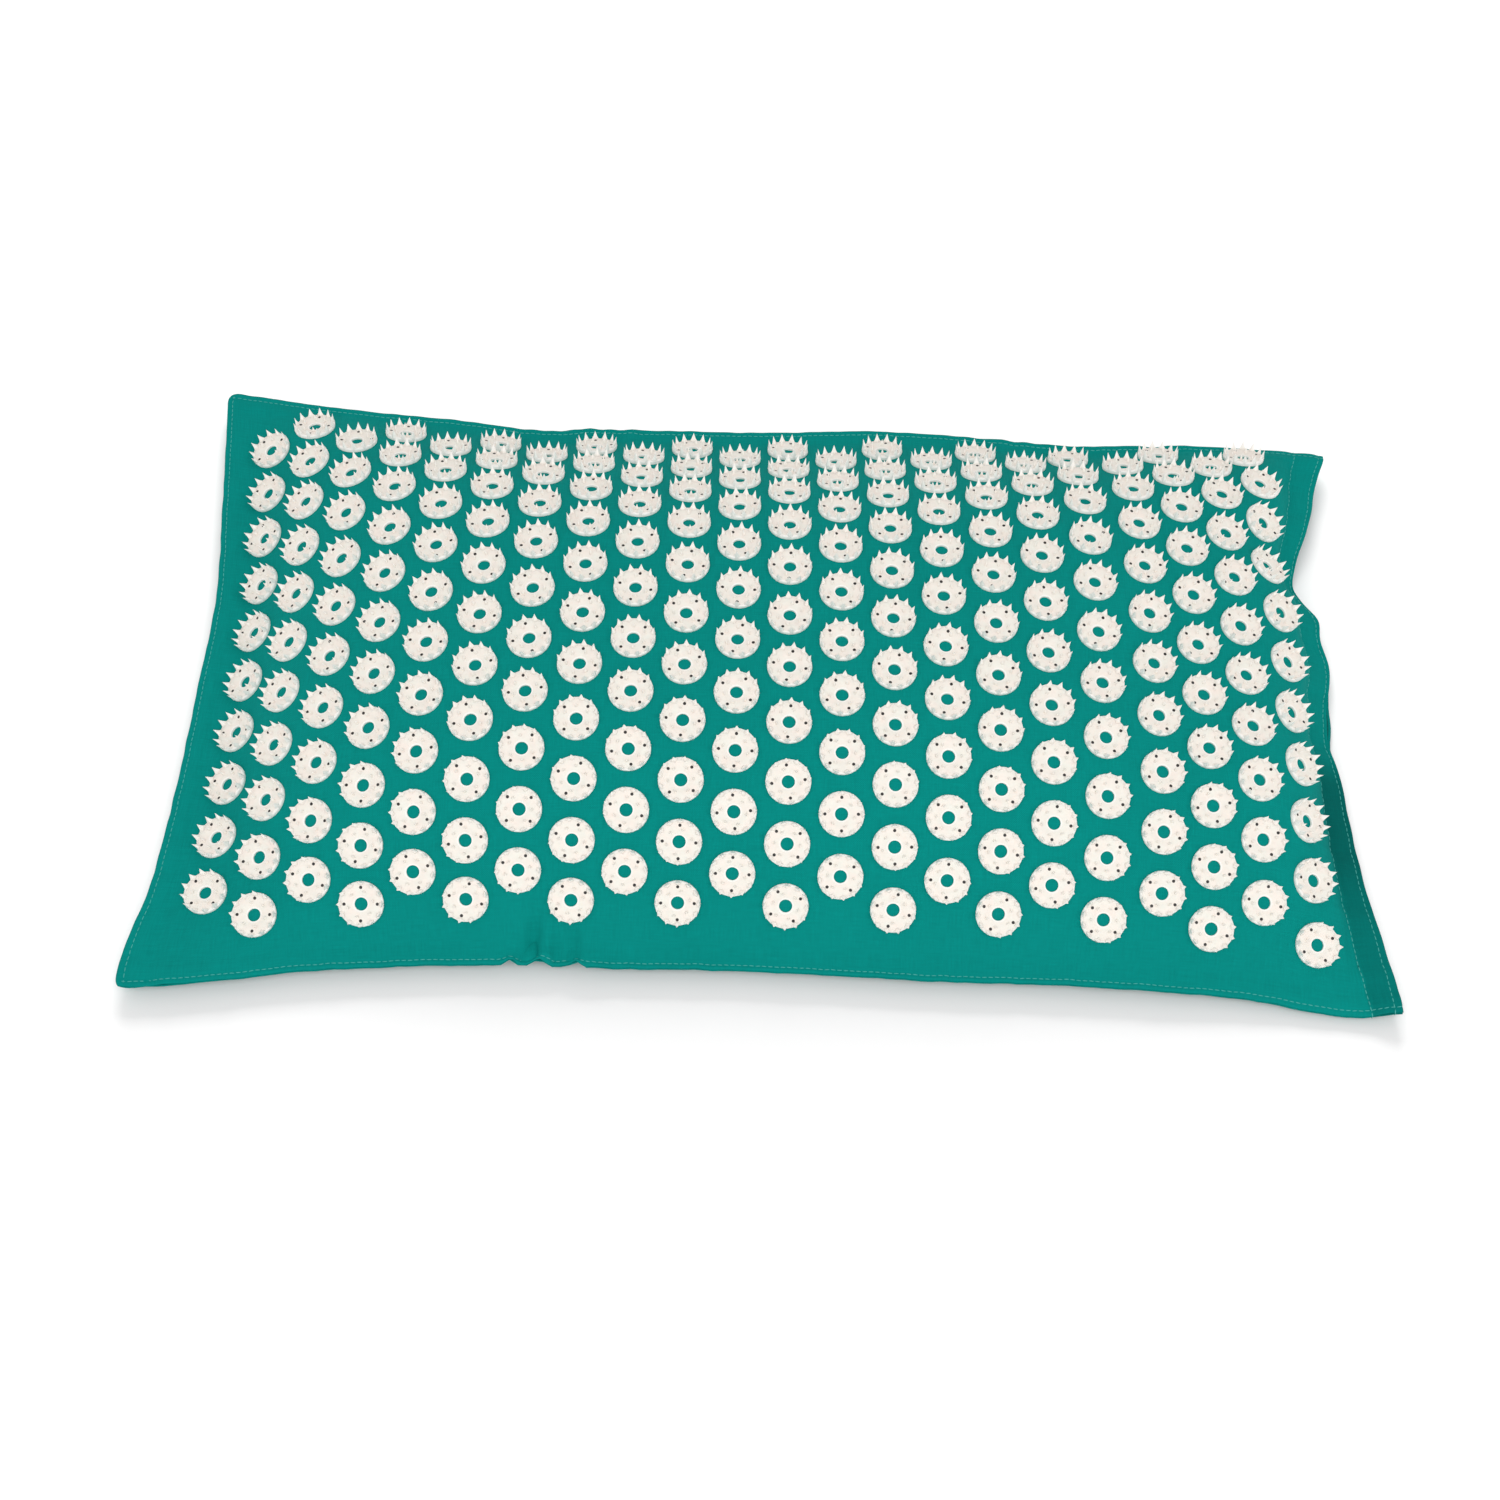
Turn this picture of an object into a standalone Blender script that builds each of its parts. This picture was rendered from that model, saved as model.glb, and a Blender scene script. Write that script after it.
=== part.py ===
"""Acupressure mat: spike discs on a sewn cotton cover, drawn over a crowned foam pad.

The mat lies on its back on the floor: X runs along it, Y from the front edge to the back edge, Z up.
The cover is two cloths sewn together along the front, left and back edges. The right end is its mouth,
closed by a hook tape and a loop tape.
"""

import math

import bmesh
import bpy
import numpy as np
from mathutils import Vector
from mathutils.bvhtree import BVHTree

# Outline, in metres. The sides of the filled cover draw in between its corners.
mat_length = 0.680
mat_depth = 0.387
left_draw_in = 0.011
mouth_draw_in = 0.007
mouth_gather = 0.006  # more draw-in, close to the open mouth only
mouth_notch = 0.013  # and most where the cloth is pinched, behind the middle of the mouth
front_flare = 0.005  # the front corners are pulled out a little
front_ease = 0.030  # near its corners the front seam is eased towards the middle
front_draw_in = 0.0175
back_draw_in = 0.008
back_slant = 0.016  # the back edge lies this much further back at the left corner, and less at the mouth

# How the draw-in spreads: a low power reaches far into the mat, a high one stays at the edge.
draw_power = 3
gather_power = 16
flare_power = 5
ease_power = 8
notch_place_share = 0.47
notch_front_width_share = 0.15
notch_back_width_share = 0.22

# Height of the filled cover.
seam_height = 0.010
crown_height = 0.062
left_crown_power = 3.9
left_fall_power = 0.96
mouth_crown_power = 2.3
mouth_fall_power = 0.51
depth_crown_power = 2.9
depth_fall_power = 1.47
corner_crown_power = 2.5  # the back falls later and more steeply towards its corners
corner_fall_power = 0.9
corner_power = 3
left_slack = 0.025  # empty cloth between the left seam and the start of the crown
underside_run = 0.035  # the underside rises from the floor to the seam over this width

# Cover and closure.
cloth_thickness = 0.0008
seam_flange = 0.006
mouth_band = 0.017
mouth_drop = 0.006  # the gathered mouth hangs lower than the seam
mouth_lift = 0.004  # and the cloth inside it is lifted by the pad
mouth_tilt_run = 0.028
mouth_fade = 0.090  # the cloths close again over this length inside the mouth
tape_thickness = 0.0012
tape_width = 0.013
tape_inset = 0.002  # from the mouth's outer edge
fit_gap = 0.0003
pad_gap = 0.0006

# Spike discs, set in staggered columns along the cloth.
disc_diameter = 0.025
disc_foot_diameter = 0.0225
disc_hole_diameter = 0.0066
disc_plate = 0.0026
disc_valley = 0.0029
disc_height = 0.0074
columns_towards_left = 0.0033
rows_towards_back = 0.0101
end_clear = 0.0368  # cloth from the mouth to the centres of the last column
edge_clear = 0.0225  # cloth from the back seam to the centres of the back row
seam_clear = 0.011  # least cloth from any disc's centre to the back seam
crowding_power = 6  # where a column is short of cloth, its last discs stand closer together
left_set_out = 0.006  # the first column stands this much nearer to the left seam, and the next ones less
set_out_power = 7
back_row_drift = 0.025  # the back rows run towards the left where they near the mouth
drift_powers = (2, 6)
columns = 22
long_column_rows = 11  # every second column holds this many discs, and the others one less
spikes = 10
hole_sides = 4
bond_lift = 0.0007  # the beads that tie a column together pass over the cloth
bond_height = 0.0017
bond_half_angle = math.radians(8)

# Grid of the cloths: lines between the edges of the crown, along and across the mat.
length_steps = 12
depth_steps = 10
walk_steps = 400
seat_rings = 3
seat_points = 36

half_length = mat_length / 2
half_depth = mat_depth / 2
disc_radius = disc_diameter / 2
mouth_half_gap = tape_thickness + 1.5 * fit_gap
seam_half_gap = fit_gap / 2


def smooth(share):
    """0 to 1 with level ends."""
    share = min(max(share, 0.0), 1.0)
    return share * share * (3 - 2 * share)


def plan(u, v):
    """Where the cloth's point lies, seen from above. u and v run from -1 to 1 along and across the mat."""
    bow = 1 - v * v
    left = left_draw_in * bow * ((1 - u) / 2) ** draw_power
    mouth = mouth_draw_in * bow * ((1 + u) / 2) ** draw_power
    notch_width = notch_front_width_share if v < notch_place_share else notch_back_width_share
    pinch = math.exp(-(((v - notch_place_share) / notch_width) ** 2)) * (1 - v**10)
    mouth += (mouth_gather * bow * bow + mouth_notch * pinch) * ((1 + u) / 2) ** gather_power
    flare = front_flare * u**flare_power * ((1 - v) / 2) ** draw_power
    flare -= front_ease * u * u * math.sin(math.pi * u) * ((1 - v) / 2) ** ease_power
    front = front_draw_in * (1 - u * u) * ((1 - v) / 2) ** draw_power
    back = (back_draw_in * (1 - u * u) + back_slant * u**3) * ((1 + v) / 2) ** draw_power
    return half_length * u + left - mouth + flare, half_depth * v + front - back - back_slant / 2


def crown(u, v):
    """Rise of the filled cover over its seam, from 0 at the edges to 1 in the middle."""
    slack = left_slack if u < 0 else mouth_band
    power = left_crown_power if u < 0 else mouth_crown_power
    fall = left_fall_power if u < 0 else mouth_fall_power
    along = min(abs(u) * half_length / (half_length - slack), 1.0)
    across = min(abs(v) * half_depth / (half_depth - seam_flange), 1.0)
    rise_along = (1 - along**power) ** fall
    corner = abs(u) ** corner_power if v > 0 else 0
    depth_power = depth_crown_power + corner_crown_power * corner
    depth_fall = depth_fall_power - corner_fall_power * corner
    return rise_along * (1 - across**depth_power) ** depth_fall


def seam_point(u, v):
    """The surface in which the two cloths meet. It tilts down towards the gathered mouth."""
    inset = (1 - u) * half_length
    tilt = (mouth_drop + mouth_lift) * smooth(inset / mouth_tilt_run) - mouth_drop
    tilt -= mouth_lift * smooth((inset - mouth_tilt_run) / mouth_fade)
    return Vector((*plan(u, v), seam_height + tilt * (1 - v * v)))


def seam_normal(u, v):
    step = 1 / walk_steps
    along = seam_point(u + step, v) - seam_point(u - step, v)
    across = seam_point(u, v + step) - seam_point(u, v - step)
    return along.cross(across).normalized()


def layer(u, v, height):
    """A surface parallel to the seam, at a height over it."""
    return seam_point(u, v) + seam_normal(u, v) * height


def half_gap(u, v):
    """Half the space between the cloths at their edges: the tapes keep them apart at the mouth."""
    inset = (1 - u) * half_length
    parted = 1 - smooth((inset - mouth_band) / mouth_fade)
    parted *= smooth((1 - abs(v)) * half_depth / seam_flange)
    return seam_half_gap + (mouth_half_gap - seam_half_gap) * parted


def top_face(u, v):
    """Outer face of the top cloth."""
    point = layer(u, v, half_gap(u, v) + cloth_thickness)
    point.z += crown_height * crown(u, v)
    return point


def under_face(u, v):
    """Outer face of the bottom cloth: level on the floor, and up to the seam near the edges."""
    insets = (
        (1 + u) * half_length - seam_flange,
        (1 - u) * half_length - mouth_band,
        (1 + v) * half_depth - seam_flange,
        (1 - v) * half_depth - seam_flange,
    )
    on_floor = 1.0
    for inset in insets:
        on_floor *= smooth(inset / underside_run)
    point = layer(u, v, -half_gap(u, v) - cloth_thickness)
    point.z *= 1 - on_floor
    return point


def spread_lines(steps, low, high):
    """Grid lines from low to high, closer together where the crown bends most."""
    lines = []
    for step in range(steps + 1):
        share = math.sin((2 * step / steps - 1) * math.pi / 2)
        lines.append(share * (high if share > 0 else -low))
    return lines


tape_lines = [1 - (tape_inset + tape_width) / half_length, 1 - tape_inset / half_length]
crown_lines = spread_lines(length_steps, left_slack / half_length - 1, 1 - mouth_band / half_length)
length_lines = [-1, seam_flange / half_length - 1, *crown_lines, *tape_lines, 1]
inner_lines = spread_lines(depth_steps, seam_flange / half_depth - 1, 1 - seam_flange / half_depth)
depth_lines = [-1, *inner_lines, 1]


def sheet(face, u_lines, v_lines):
    """A grid laid on a face of the cover, split the same way everywhere so that layers stay parallel."""
    bm = bmesh.new()
    columns = len(u_lines) - 1
    rows = len(v_lines) - 1
    bmesh.ops.create_grid(bm, x_segments=columns, y_segments=rows, size=1)
    for vert in bm.verts:
        u = u_lines[round((vert.co.x + 1) / 2 * columns)]
        v = v_lines[round((vert.co.y + 1) / 2 * rows)]
        vert.co = face(u, v)
    bmesh.ops.triangulate(bm, faces=bm.faces, quad_method="FIXED")
    bm.normal_update()
    return bm


def finish_material(name, colour, roughness):
    material = bpy.data.materials.new(name)
    material.use_nodes = True
    surface = material.node_tree.nodes["Principled BSDF"]
    surface.inputs["Base Color"].default_value = (*colour, 1)
    surface.inputs["Roughness"].default_value = roughness
    surface.inputs["Metallic"].default_value = 0
    material.diffuse_color = (*colour, 1)
    return material


def place(name, bm, material, origin=(0, 0, 0)):
    """Turn a mesh in mat coordinates into a named object with its own origin."""
    origin = Vector(origin)
    bmesh.ops.translate(bm, verts=bm.verts, vec=-origin)
    mesh = bpy.data.meshes.new(name)
    bm.to_mesh(mesh)
    bm.free()
    mesh.materials.append(material)
    piece = bpy.data.objects.new(name, mesh)
    piece.location = origin
    piece.parent = mat
    mat_pieces.objects.link(piece)
    return piece


def thicken(piece, thickness):
    """Give a sheet its wall, inwards from the face that was modelled."""
    wall = piece.modifiers.new("cloth", "SOLIDIFY")
    wall.thickness = thickness
    wall.offset = -1


def add_top_cloth():
    bm = sheet(top_face, length_lines, depth_lines)
    seats = BVHTree.FromBMesh(bm)
    corners = [vert.co.copy() for vert in bm.verts]
    thicken(place("cover_top_panel", bm, teal_cotton), cloth_thickness)
    return seats, corners


def add_bottom_cloth():
    bm = sheet(under_face, length_lines, depth_lines)
    bmesh.ops.reverse_faces(bm, faces=bm.faces)
    thicken(place("cover_bottom_panel", bm, teal_cotton), cloth_thickness)


def pad_layer(face, inwards):
    """The part of a cloth's surface that the pad fills out to, moved in by the cloth and a small space."""
    cover = sheet(face, length_lines, depth_lines)
    moved = {}
    for vert in cover.verts:
        moved[vert.co.to_tuple()] = vert.co + vert.normal * inwards * (cloth_thickness + pad_gap)
    cover.free()
    side = sheet(face, crown_lines[1:-1], inner_lines[1:-1])
    for vert in side.verts:
        vert.co = moved[vert.co.to_tuple()]
    return side


def add_pad():
    """The foam pad fills the cover up to the lines where its two cloths come together."""
    pad = pad_layer(top_face, -1)
    under = pad_layer(under_face, 1)
    bmesh.ops.reverse_faces(under, faces=under.faces)
    under_mesh = bpy.data.meshes.new("pad_underside")
    under.to_mesh(under_mesh)
    under.free()
    pad.from_mesh(under_mesh)
    bpy.data.meshes.remove(under_mesh)
    rim = [edge for edge in pad.edges if edge.is_boundary]
    bmesh.ops.bridge_loops(pad, edges=rim)
    bmesh.ops.recalc_face_normals(pad, faces=pad.faces)
    place("foam_pad", pad, foam)


def add_tape(name, material, upper_face):
    """A closure tape, sewn to the inside of one cloth along the mouth."""
    bm = sheet(lambda u, v: layer(u, v, upper_face), tape_lines, inner_lines)
    thicken(place(name, bm, material), tape_thickness)


def walk(point_at, distance):
    """The parameter at which a path from 0 towards 1 or -1 has gone the given distance."""
    way = 1 if distance >= 0 else -1
    gone = 0.0
    before = point_at(0)
    for step in range(1, walk_steps + 1):
        here = way * step / walk_steps
        after = point_at(here)
        stride = (after - before).length
        if gone + stride >= abs(distance):
            return here - way * (1 - (abs(distance) - gone) / stride) / walk_steps
        gone += stride
        before = after
    return way


def path_length(point_at, end):
    points = [point_at(end * step / walk_steps) for step in range(walk_steps + 1)]
    return sum((b - a).length for a, b in zip(points, points[1:]))


def pitch(low_room, high_room, shift, clear, count):
    """Space between discs along a row that is shifted from the middle, with clear cloth at both ends."""
    return 2 * (min(low_room + shift, high_room - shift) - clear) / (count - 1)


def disc_sections():
    """A disc's sections as (angle, radius, height): foot, toothed rim, and the hole's upper and lower edge."""
    foot_side = [(-bond_half_angle, bond_lift), (bond_half_angle, bond_lift), (math.pi / 3, 0), (2 * math.pi / 3, 0)]
    foot_side += [(angle + math.pi, height) for angle, height in foot_side]
    foot = [(angle, disc_foot_diameter / 2, height) for angle, height in foot_side]
    rim = []
    for point in range(2 * spikes):
        angle = point * math.pi / spikes
        if point % spikes == 0:
            height = bond_height
        else:
            height = disc_height if point % 2 else disc_valley
        rim.append((angle, disc_radius, height))
    hole_top = []
    hole_foot = []
    for corner in range(hole_sides):
        angle = (corner + 0.5) * 2 * math.pi / hole_sides
        hole_top.append((angle, disc_hole_diameter / 2, disc_plate))
        hole_foot.append((angle, disc_hole_diameter / 2, 0.0))
    return foot, rim, hole_top, hole_foot


def loft(bm, first, first_angles, second, second_angles):
    """Close the band between two rings of unlike count. Returns its triangles."""
    faces = []
    i = j = 0
    while i < len(first) or j < len(second):
        next_first = first_angles[(i + 1) % len(first)] + 2 * math.pi * ((i + 1) // len(first))
        next_second = second_angles[(j + 1) % len(second)] + 2 * math.pi * ((j + 1) // len(second))
        a = first[i % len(first)]
        b = second[j % len(second)]
        step_first = j >= len(second) or (i < len(first) and next_first < next_second)
        if step_first:
            faces.append(bm.faces.new((a, first[(i + 1) % len(first)], b)))
            i += 1
        else:
            faces.append(bm.faces.new((a, second[(j + 1) % len(second)], b)))
            j += 1
    return faces


def add_disc(bm, seat, across, normal):
    """One disc on its seat. Returns the small triangles of its foot that face its neighbours."""
    side = normal.cross(across)
    rings = []
    angles = []
    for section in disc_sections():
        ring = []
        for angle, radius, height in section:
            offset = across * math.cos(angle) + side * math.sin(angle)
            ring.append(bm.verts.new(seat + offset * radius + normal * height))
        rings.append(ring)
        angles.append([angle for angle, _, _ in section])
    foot, rim, hole_top, hole_foot = rings
    loft(bm, foot, angles[0], rim, angles[1])
    loft(bm, rim, angles[1], hole_top, angles[2])
    loft(bm, hole_top, angles[2], hole_foot, angles[3])
    loft(bm, hole_foot, angles[3], foot, angles[0])
    back = (foot[0], foot[1], rim[0])
    front = (foot[5], foot[4], rim[spikes])
    return front, back


def bond(bm, near, far):
    """A low bead of bonding plastic between two discs of a column."""
    for corners in (near, far):
        shared = [face for face in corners[0].link_faces if set(face.verts) == set(corners)]
        bmesh.ops.delete(bm, geom=shared, context="FACES_ONLY")
    for k in range(3):
        following = (k + 1) % 3
        bm.faces.new((near[k], near[following], far[following], far[k]))


def find_seat(seats, corners, point, slope):
    """The plane that a disc lies on: fitted to the cloth under it, and raised until it clears the cloth."""
    drop = Vector((0, 0, -1))
    aside = slope.cross(drop).normalized()
    ahead = drop.cross(aside)
    touched = []
    for ring in range(seat_rings + 1):
        for turn in range(seat_points if ring else 1):
            angle = turn * 2 * math.pi / seat_points
            offset = (aside * math.cos(angle) + ahead * math.sin(angle)) * disc_radius * ring / seat_rings
            hit = seats.ray_cast(point + offset - drop * crown_height, drop)[0]
            if hit:
                touched.append(hit)
    cloud = np.array(touched)
    middle = cloud.mean(axis=0)
    normal = Vector(np.linalg.svd(cloud - middle)[2][2])
    if normal.z < 0:
        normal.negate()
    for corner in corners:
        offset = corner - point
        if (offset - normal * offset.dot(normal)).length < disc_radius:
            touched.append(corner)
    lift = max((hit - point).dot(normal) for hit in touched)
    return point + normal * (lift + fit_gap), normal


def add_column(number, u, rows, row_pitch, seats, corners):
    """A column of discs, each seated on the cloth below it and square to it."""
    bm = bmesh.new()
    last = (rows - 1) / 2 * row_pitch + rows_towards_back
    crowding = max(0, last + seam_clear - path_length(lambda share: top_face(u, share), 1))
    earlier = None
    origin = None
    for row in range(rows):
        distance = (row - (rows - 1) / 2) * row_pitch + rows_towards_back
        distance -= crowding * max(0, distance / last) ** crowding_power
        v = walk(lambda share: top_face(u, share), distance)
        drift = back_row_drift * max(0, u) ** drift_powers[0] * max(0, v) ** drift_powers[1]
        at = u - drift / half_length
        slope = top_face(at, v + 1 / walk_steps) - top_face(at, v - 1 / walk_steps)
        seat, normal = find_seat(seats, corners, top_face(at, v), slope)
        across = (slope - normal * slope.dot(normal)).normalized()
        front, back = add_disc(bm, seat, across, normal)
        if earlier:
            bond(bm, earlier, front)
        earlier = back
        if row == rows // 2:
            origin = seat
    column = place(f"spike_disc_column_{number:02d}", bm, ivory_plastic, origin)
    column.data.shade_flat()


def add_discs(seats, corners):
    """Staggered columns: every second one holds a disc more."""
    left_room = path_length(lambda share: top_face(share, 0), -1)
    right_room = path_length(lambda share: top_face(share, 0), 1)
    front_room = path_length(lambda share: top_face(0, share), -1)
    back_room = path_length(lambda share: top_face(0, share), 1)
    column_pitch = pitch(left_room, right_room, -columns_towards_left, end_clear, columns)
    row_pitch = pitch(front_room, back_room, rows_towards_back, edge_clear, long_column_rows)
    first = -(columns - 1) / 2 * column_pitch - columns_towards_left
    for column in range(columns):
        distance = first + column * column_pitch
        distance -= left_set_out * max(0, distance / first) ** set_out_power
        u = walk(lambda share: top_face(share, 0), distance)
        rows = long_column_rows - 1 + column % 2
        add_column(column + 1, u, rows, row_pitch, seats, corners)


for old in list(bpy.data.objects):
    bpy.data.objects.remove(old)

mat_pieces = bpy.data.collections.new("acupressure_mat")
bpy.context.scene.collection.children.link(mat_pieces)
mat = bpy.data.objects.new("mat", None)
mat_pieces.objects.link(mat)

teal_cotton = finish_material("teal_cotton", (0.003, 0.262, 0.216), 0.85)
ivory_plastic = finish_material("ivory_plastic", (0.871, 0.807, 0.753), 0.45)
foam = finish_material("cream_foam", (0.80, 0.74, 0.58), 0.95)
hook_nylon = finish_material("hook_nylon", (0.004, 0.150, 0.130), 0.70)
loop_nylon = finish_material("loop_nylon", (0.006, 0.190, 0.165), 0.95)

top_seats, top_corners = add_top_cloth()
add_bottom_cloth()
add_pad()
add_tape("mouth_loop_tape", loop_nylon, mouth_half_gap - fit_gap)
add_tape("mouth_hook_tape", hook_nylon, -fit_gap / 2)
add_discs(top_seats, top_corners)
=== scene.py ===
"""Acupressure mat: a crowned cotton cover over a foam pad, set with round spike discs.

The packed model gives the frame. Each operator makes one piece or group of like pieces in its place, in
metres, and the panel in the 3D view's sidebar lists them.
"""

import math

import bmesh
import bpy
import numpy as np
from mathutils import Matrix, Vector


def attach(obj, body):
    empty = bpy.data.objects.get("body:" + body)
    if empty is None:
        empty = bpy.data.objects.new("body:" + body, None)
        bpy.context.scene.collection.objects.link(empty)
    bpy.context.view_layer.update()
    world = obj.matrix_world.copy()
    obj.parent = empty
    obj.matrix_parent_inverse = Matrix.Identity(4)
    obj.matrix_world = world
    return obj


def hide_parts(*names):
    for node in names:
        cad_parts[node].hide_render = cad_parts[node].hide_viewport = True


bl_info = {
    "name": "Acupressure mat",
    "version": (1, 0, 0),
    "blender": (4, 5, 0),
    "location": "3D View > Sidebar > Mat",
    "description": "Makes the cover, stitching, spike discs and foam pad of an acupressure mat",
    "category": "Object",
}

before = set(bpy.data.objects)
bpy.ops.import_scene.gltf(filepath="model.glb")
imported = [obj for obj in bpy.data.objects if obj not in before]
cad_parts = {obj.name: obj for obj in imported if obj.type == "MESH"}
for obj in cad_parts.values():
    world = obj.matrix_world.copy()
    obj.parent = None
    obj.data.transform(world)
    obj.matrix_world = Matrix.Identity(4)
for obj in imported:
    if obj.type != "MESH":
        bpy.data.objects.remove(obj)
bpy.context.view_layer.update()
BODY = "root"


# Settings


def setting(kind, **fixed):
    """A maker of settings of one kind."""

    def make(name, default, description):
        return kind(name=name, default=default, description=description, **fixed)

    return make


length = setting(bpy.props.FloatProperty, unit="LENGTH", subtype="DISTANCE", precision=5)
plain = setting(bpy.props.FloatProperty, precision=3)
count = setting(bpy.props.IntProperty, min=0)
radians = setting(bpy.props.FloatProperty, unit="ROTATION", subtype="ANGLE")
colour = setting(bpy.props.FloatVectorProperty, size=3, min=0, max=1, subtype="COLOR")


def angle(name, degrees, description):
    return radians(name, math.radians(degrees), description)


class MatShapeSettings(bpy.types.PropertyGroup):
    """Sizes of the filled cover, its seams and its mouth"""

    mat_length: length("Length", 0.680, "Length of the cover between its back corners")
    mat_depth: length("Depth", 0.387, "Depth of the cover")
    left_draw_in: length("Left draw-in", 0.011, "How far the left side is drawn in at its middle")
    mouth_draw_in: length("Mouth draw-in", 0.007, "How far the mouth side is drawn in at its middle")
    mouth_gather: length("Mouth gather", 0.006, "Further draw-in close to the mouth")
    mouth_notch: length("Mouth notch", 0.013, "Further draw-in where the mouth is pinched")
    front_flare: length("Front flare", 0.005, "How far the front corners are pulled out")
    front_ease: length("Front ease", 0.030, "How far the front seam is eased in towards the middle")
    front_draw_in: length("Front draw-in", 0.0175, "How far the front side is drawn in at its middle")
    back_draw_in: length("Back draw-in", 0.008, "How far the back side is drawn in at its middle")
    back_slant: length("Back slant", 0.016, "How far the back edge comes forwards from middle to mouth")
    seam_height: length("Seam height", 0.010, "Height of the seam over the floor")
    crown_height: length("Crown", 0.062, "Rise of the filled cover over its seam")
    left_slack: length("Left slack", 0.025, "Flat cloth between the left seam and the crown")
    underside_run: length("Underside run", 0.035, "Width over which the underside rises to the seam")
    cloth_thickness: length("Cloth", 0.0008, "Thickness of the cotton cloth")
    seam_flange: length("Flange", 0.006, "Width of the flat seam")
    mouth_band: length("Mouth band", 0.017, "Width of the flat band along the mouth")
    mouth_drop: length("Mouth drop", 0.006, "How far the gathered mouth hangs under the seam")
    mouth_lift: length("Mouth lift", 0.004, "How far the pad lifts the cloth inside the mouth")
    mouth_tilt_run: length("Mouth tilt", 0.028, "Width over which the mouth tilts down")
    mouth_fade: length("Mouth fade", 0.090, "Length over which the cloths close inside the mouth")
    tape_thickness: length("Tape", 0.0012, "Thickness of a closure tape")
    fit_gap: length("Gap", 0.0003, "Space between touching layers")
    welt_width: length("Welt", 0.009, "Width of the folded cloth inside the seam")
    stitch_inset: length("Stitch inset", 0.0032, "Distance of the topstitching from the edge")
    tape_width: length("Tape width", 0.013, "Width of a closure tape")
    tape_inset: length("Tape inset", 0.002, "Distance of a closure tape from the mouth's edge")
    pad_gap: length("Pad gap", 0.0006, "Space between the pad and the cover")
    pad_inset: length("Pad inset", 0.024, "Distance of the pad from the cover's seams")
    corner_round: length("Corner", 0.009, "Reach of a rounded corner")
    lower_lip: length("Lower lip", 0.0030, "How far the lower cloth stands out in the middle of the mouth")
    upper_lip: length("Upper lip", 0.0015, "How far the upper cloth stands back in the middle of the mouth")
    hem_sag: length("Hem sag", 0.007, "How far the seam sags at the front of the mouth")


class DiscSettings(bpy.types.PropertyGroup):
    """Sizes and spacing of the spike discs"""

    columns: count("Columns", 22, "Number of disc columns")
    rows: count("Rows", 11, "Discs in the longer columns")
    columns_towards_left: length("Shift left", 0.0033, "Shift of the disc pattern towards the left side")
    rows_towards_back: length("Shift back", 0.0101, "Shift of the disc pattern towards the back")
    left_set_out: length("Left set-out", 0.006, "How much nearer the first column stands to the left seam")
    back_row_drift: length("Back-row drift", 0.025, "How far the back rows run to the left near the mouth")
    spread: length("Spread", 0.0034, "How much nearer the mouth the columns around the spread place stand")
    corner_draw: length("Corner draw", 0.006, "How far the discs of the mouth's back corner stand forwards")
    end_clear: length("End space", 0.0368, "Cloth between the mouth and the last column")
    edge_clear: length("Edge space", 0.0225, "Cloth between the back seam and the back row")
    seam_clear: length("Least space", 0.011, "Least cloth between a disc's centre and the back seam")
    diameter: length("Diameter", 0.025, "Outer diameter of a disc")
    hole: length("Hole", 0.0072, "Diameter of the centre hole")
    plate: length("Plate", 0.0025, "Thickness of the disc's plate at its rim")
    hole_edge: length("Hole edge", 0.0011, "Thickness of the plate at the centre hole")
    height: length("Height", 0.0072, "Height of a disc to the tips of its outer spikes")
    inner_height: length("Inner height", 0.0056, "Height of a disc to the tips of its inner spikes")
    spike_base: length("Spike base", 0.0056, "Width of an outer spike at its foot")
    outer_spikes: count("Outer spikes", 12, "Spikes around the rim of a disc")
    inner_spikes: count("Inner spikes", 6, "Spikes around the hole of a disc")
    seed: count("Seed", 7, "Seed of the discs' random turns")


class StitchSettings(bpy.types.PropertyGroup):
    """Sizes of the thread"""

    stitch: length("Stitch", 0.0027, "Length of one stitch")
    pitch: length("Pitch", 0.0034, "Distance from stitch to stitch")
    thread: length("Thread", 0.00052, "Width of the thread")
    wander: angle("Wander", 7, "Most that a stitch lies out of line")
    seed: count("Seed", 3, "Seed of the stitches' wander")


class FinishSettings(bpy.types.PropertyGroup):
    """Colours of the finishes"""

    cotton: colour("Cotton", (0.0010, 0.252, 0.222), "Cover cloth")
    thread: colour("Thread", (0.080, 0.440, 0.390), "Topstitching")
    plastic: colour("Plastic", (0.905, 0.852, 0.790), "Spike discs")
    # The edge colour is a painted highlight on the discs' rims, the brims of their holes and their spikes.
    plastic_highlight: colour("Plastic edge", (0.985, 0.935, 0.880), "Worn edges and spikes of the discs")
    foam: colour("Foam", (0.80, 0.74, 0.58), "Pad")
    loop: colour("Loop tape", (0.006, 0.190, 0.165), "Loop tape")
    hook: colour("Hook tape", (0.004, 0.150, 0.130), "Hook tape")


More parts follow.
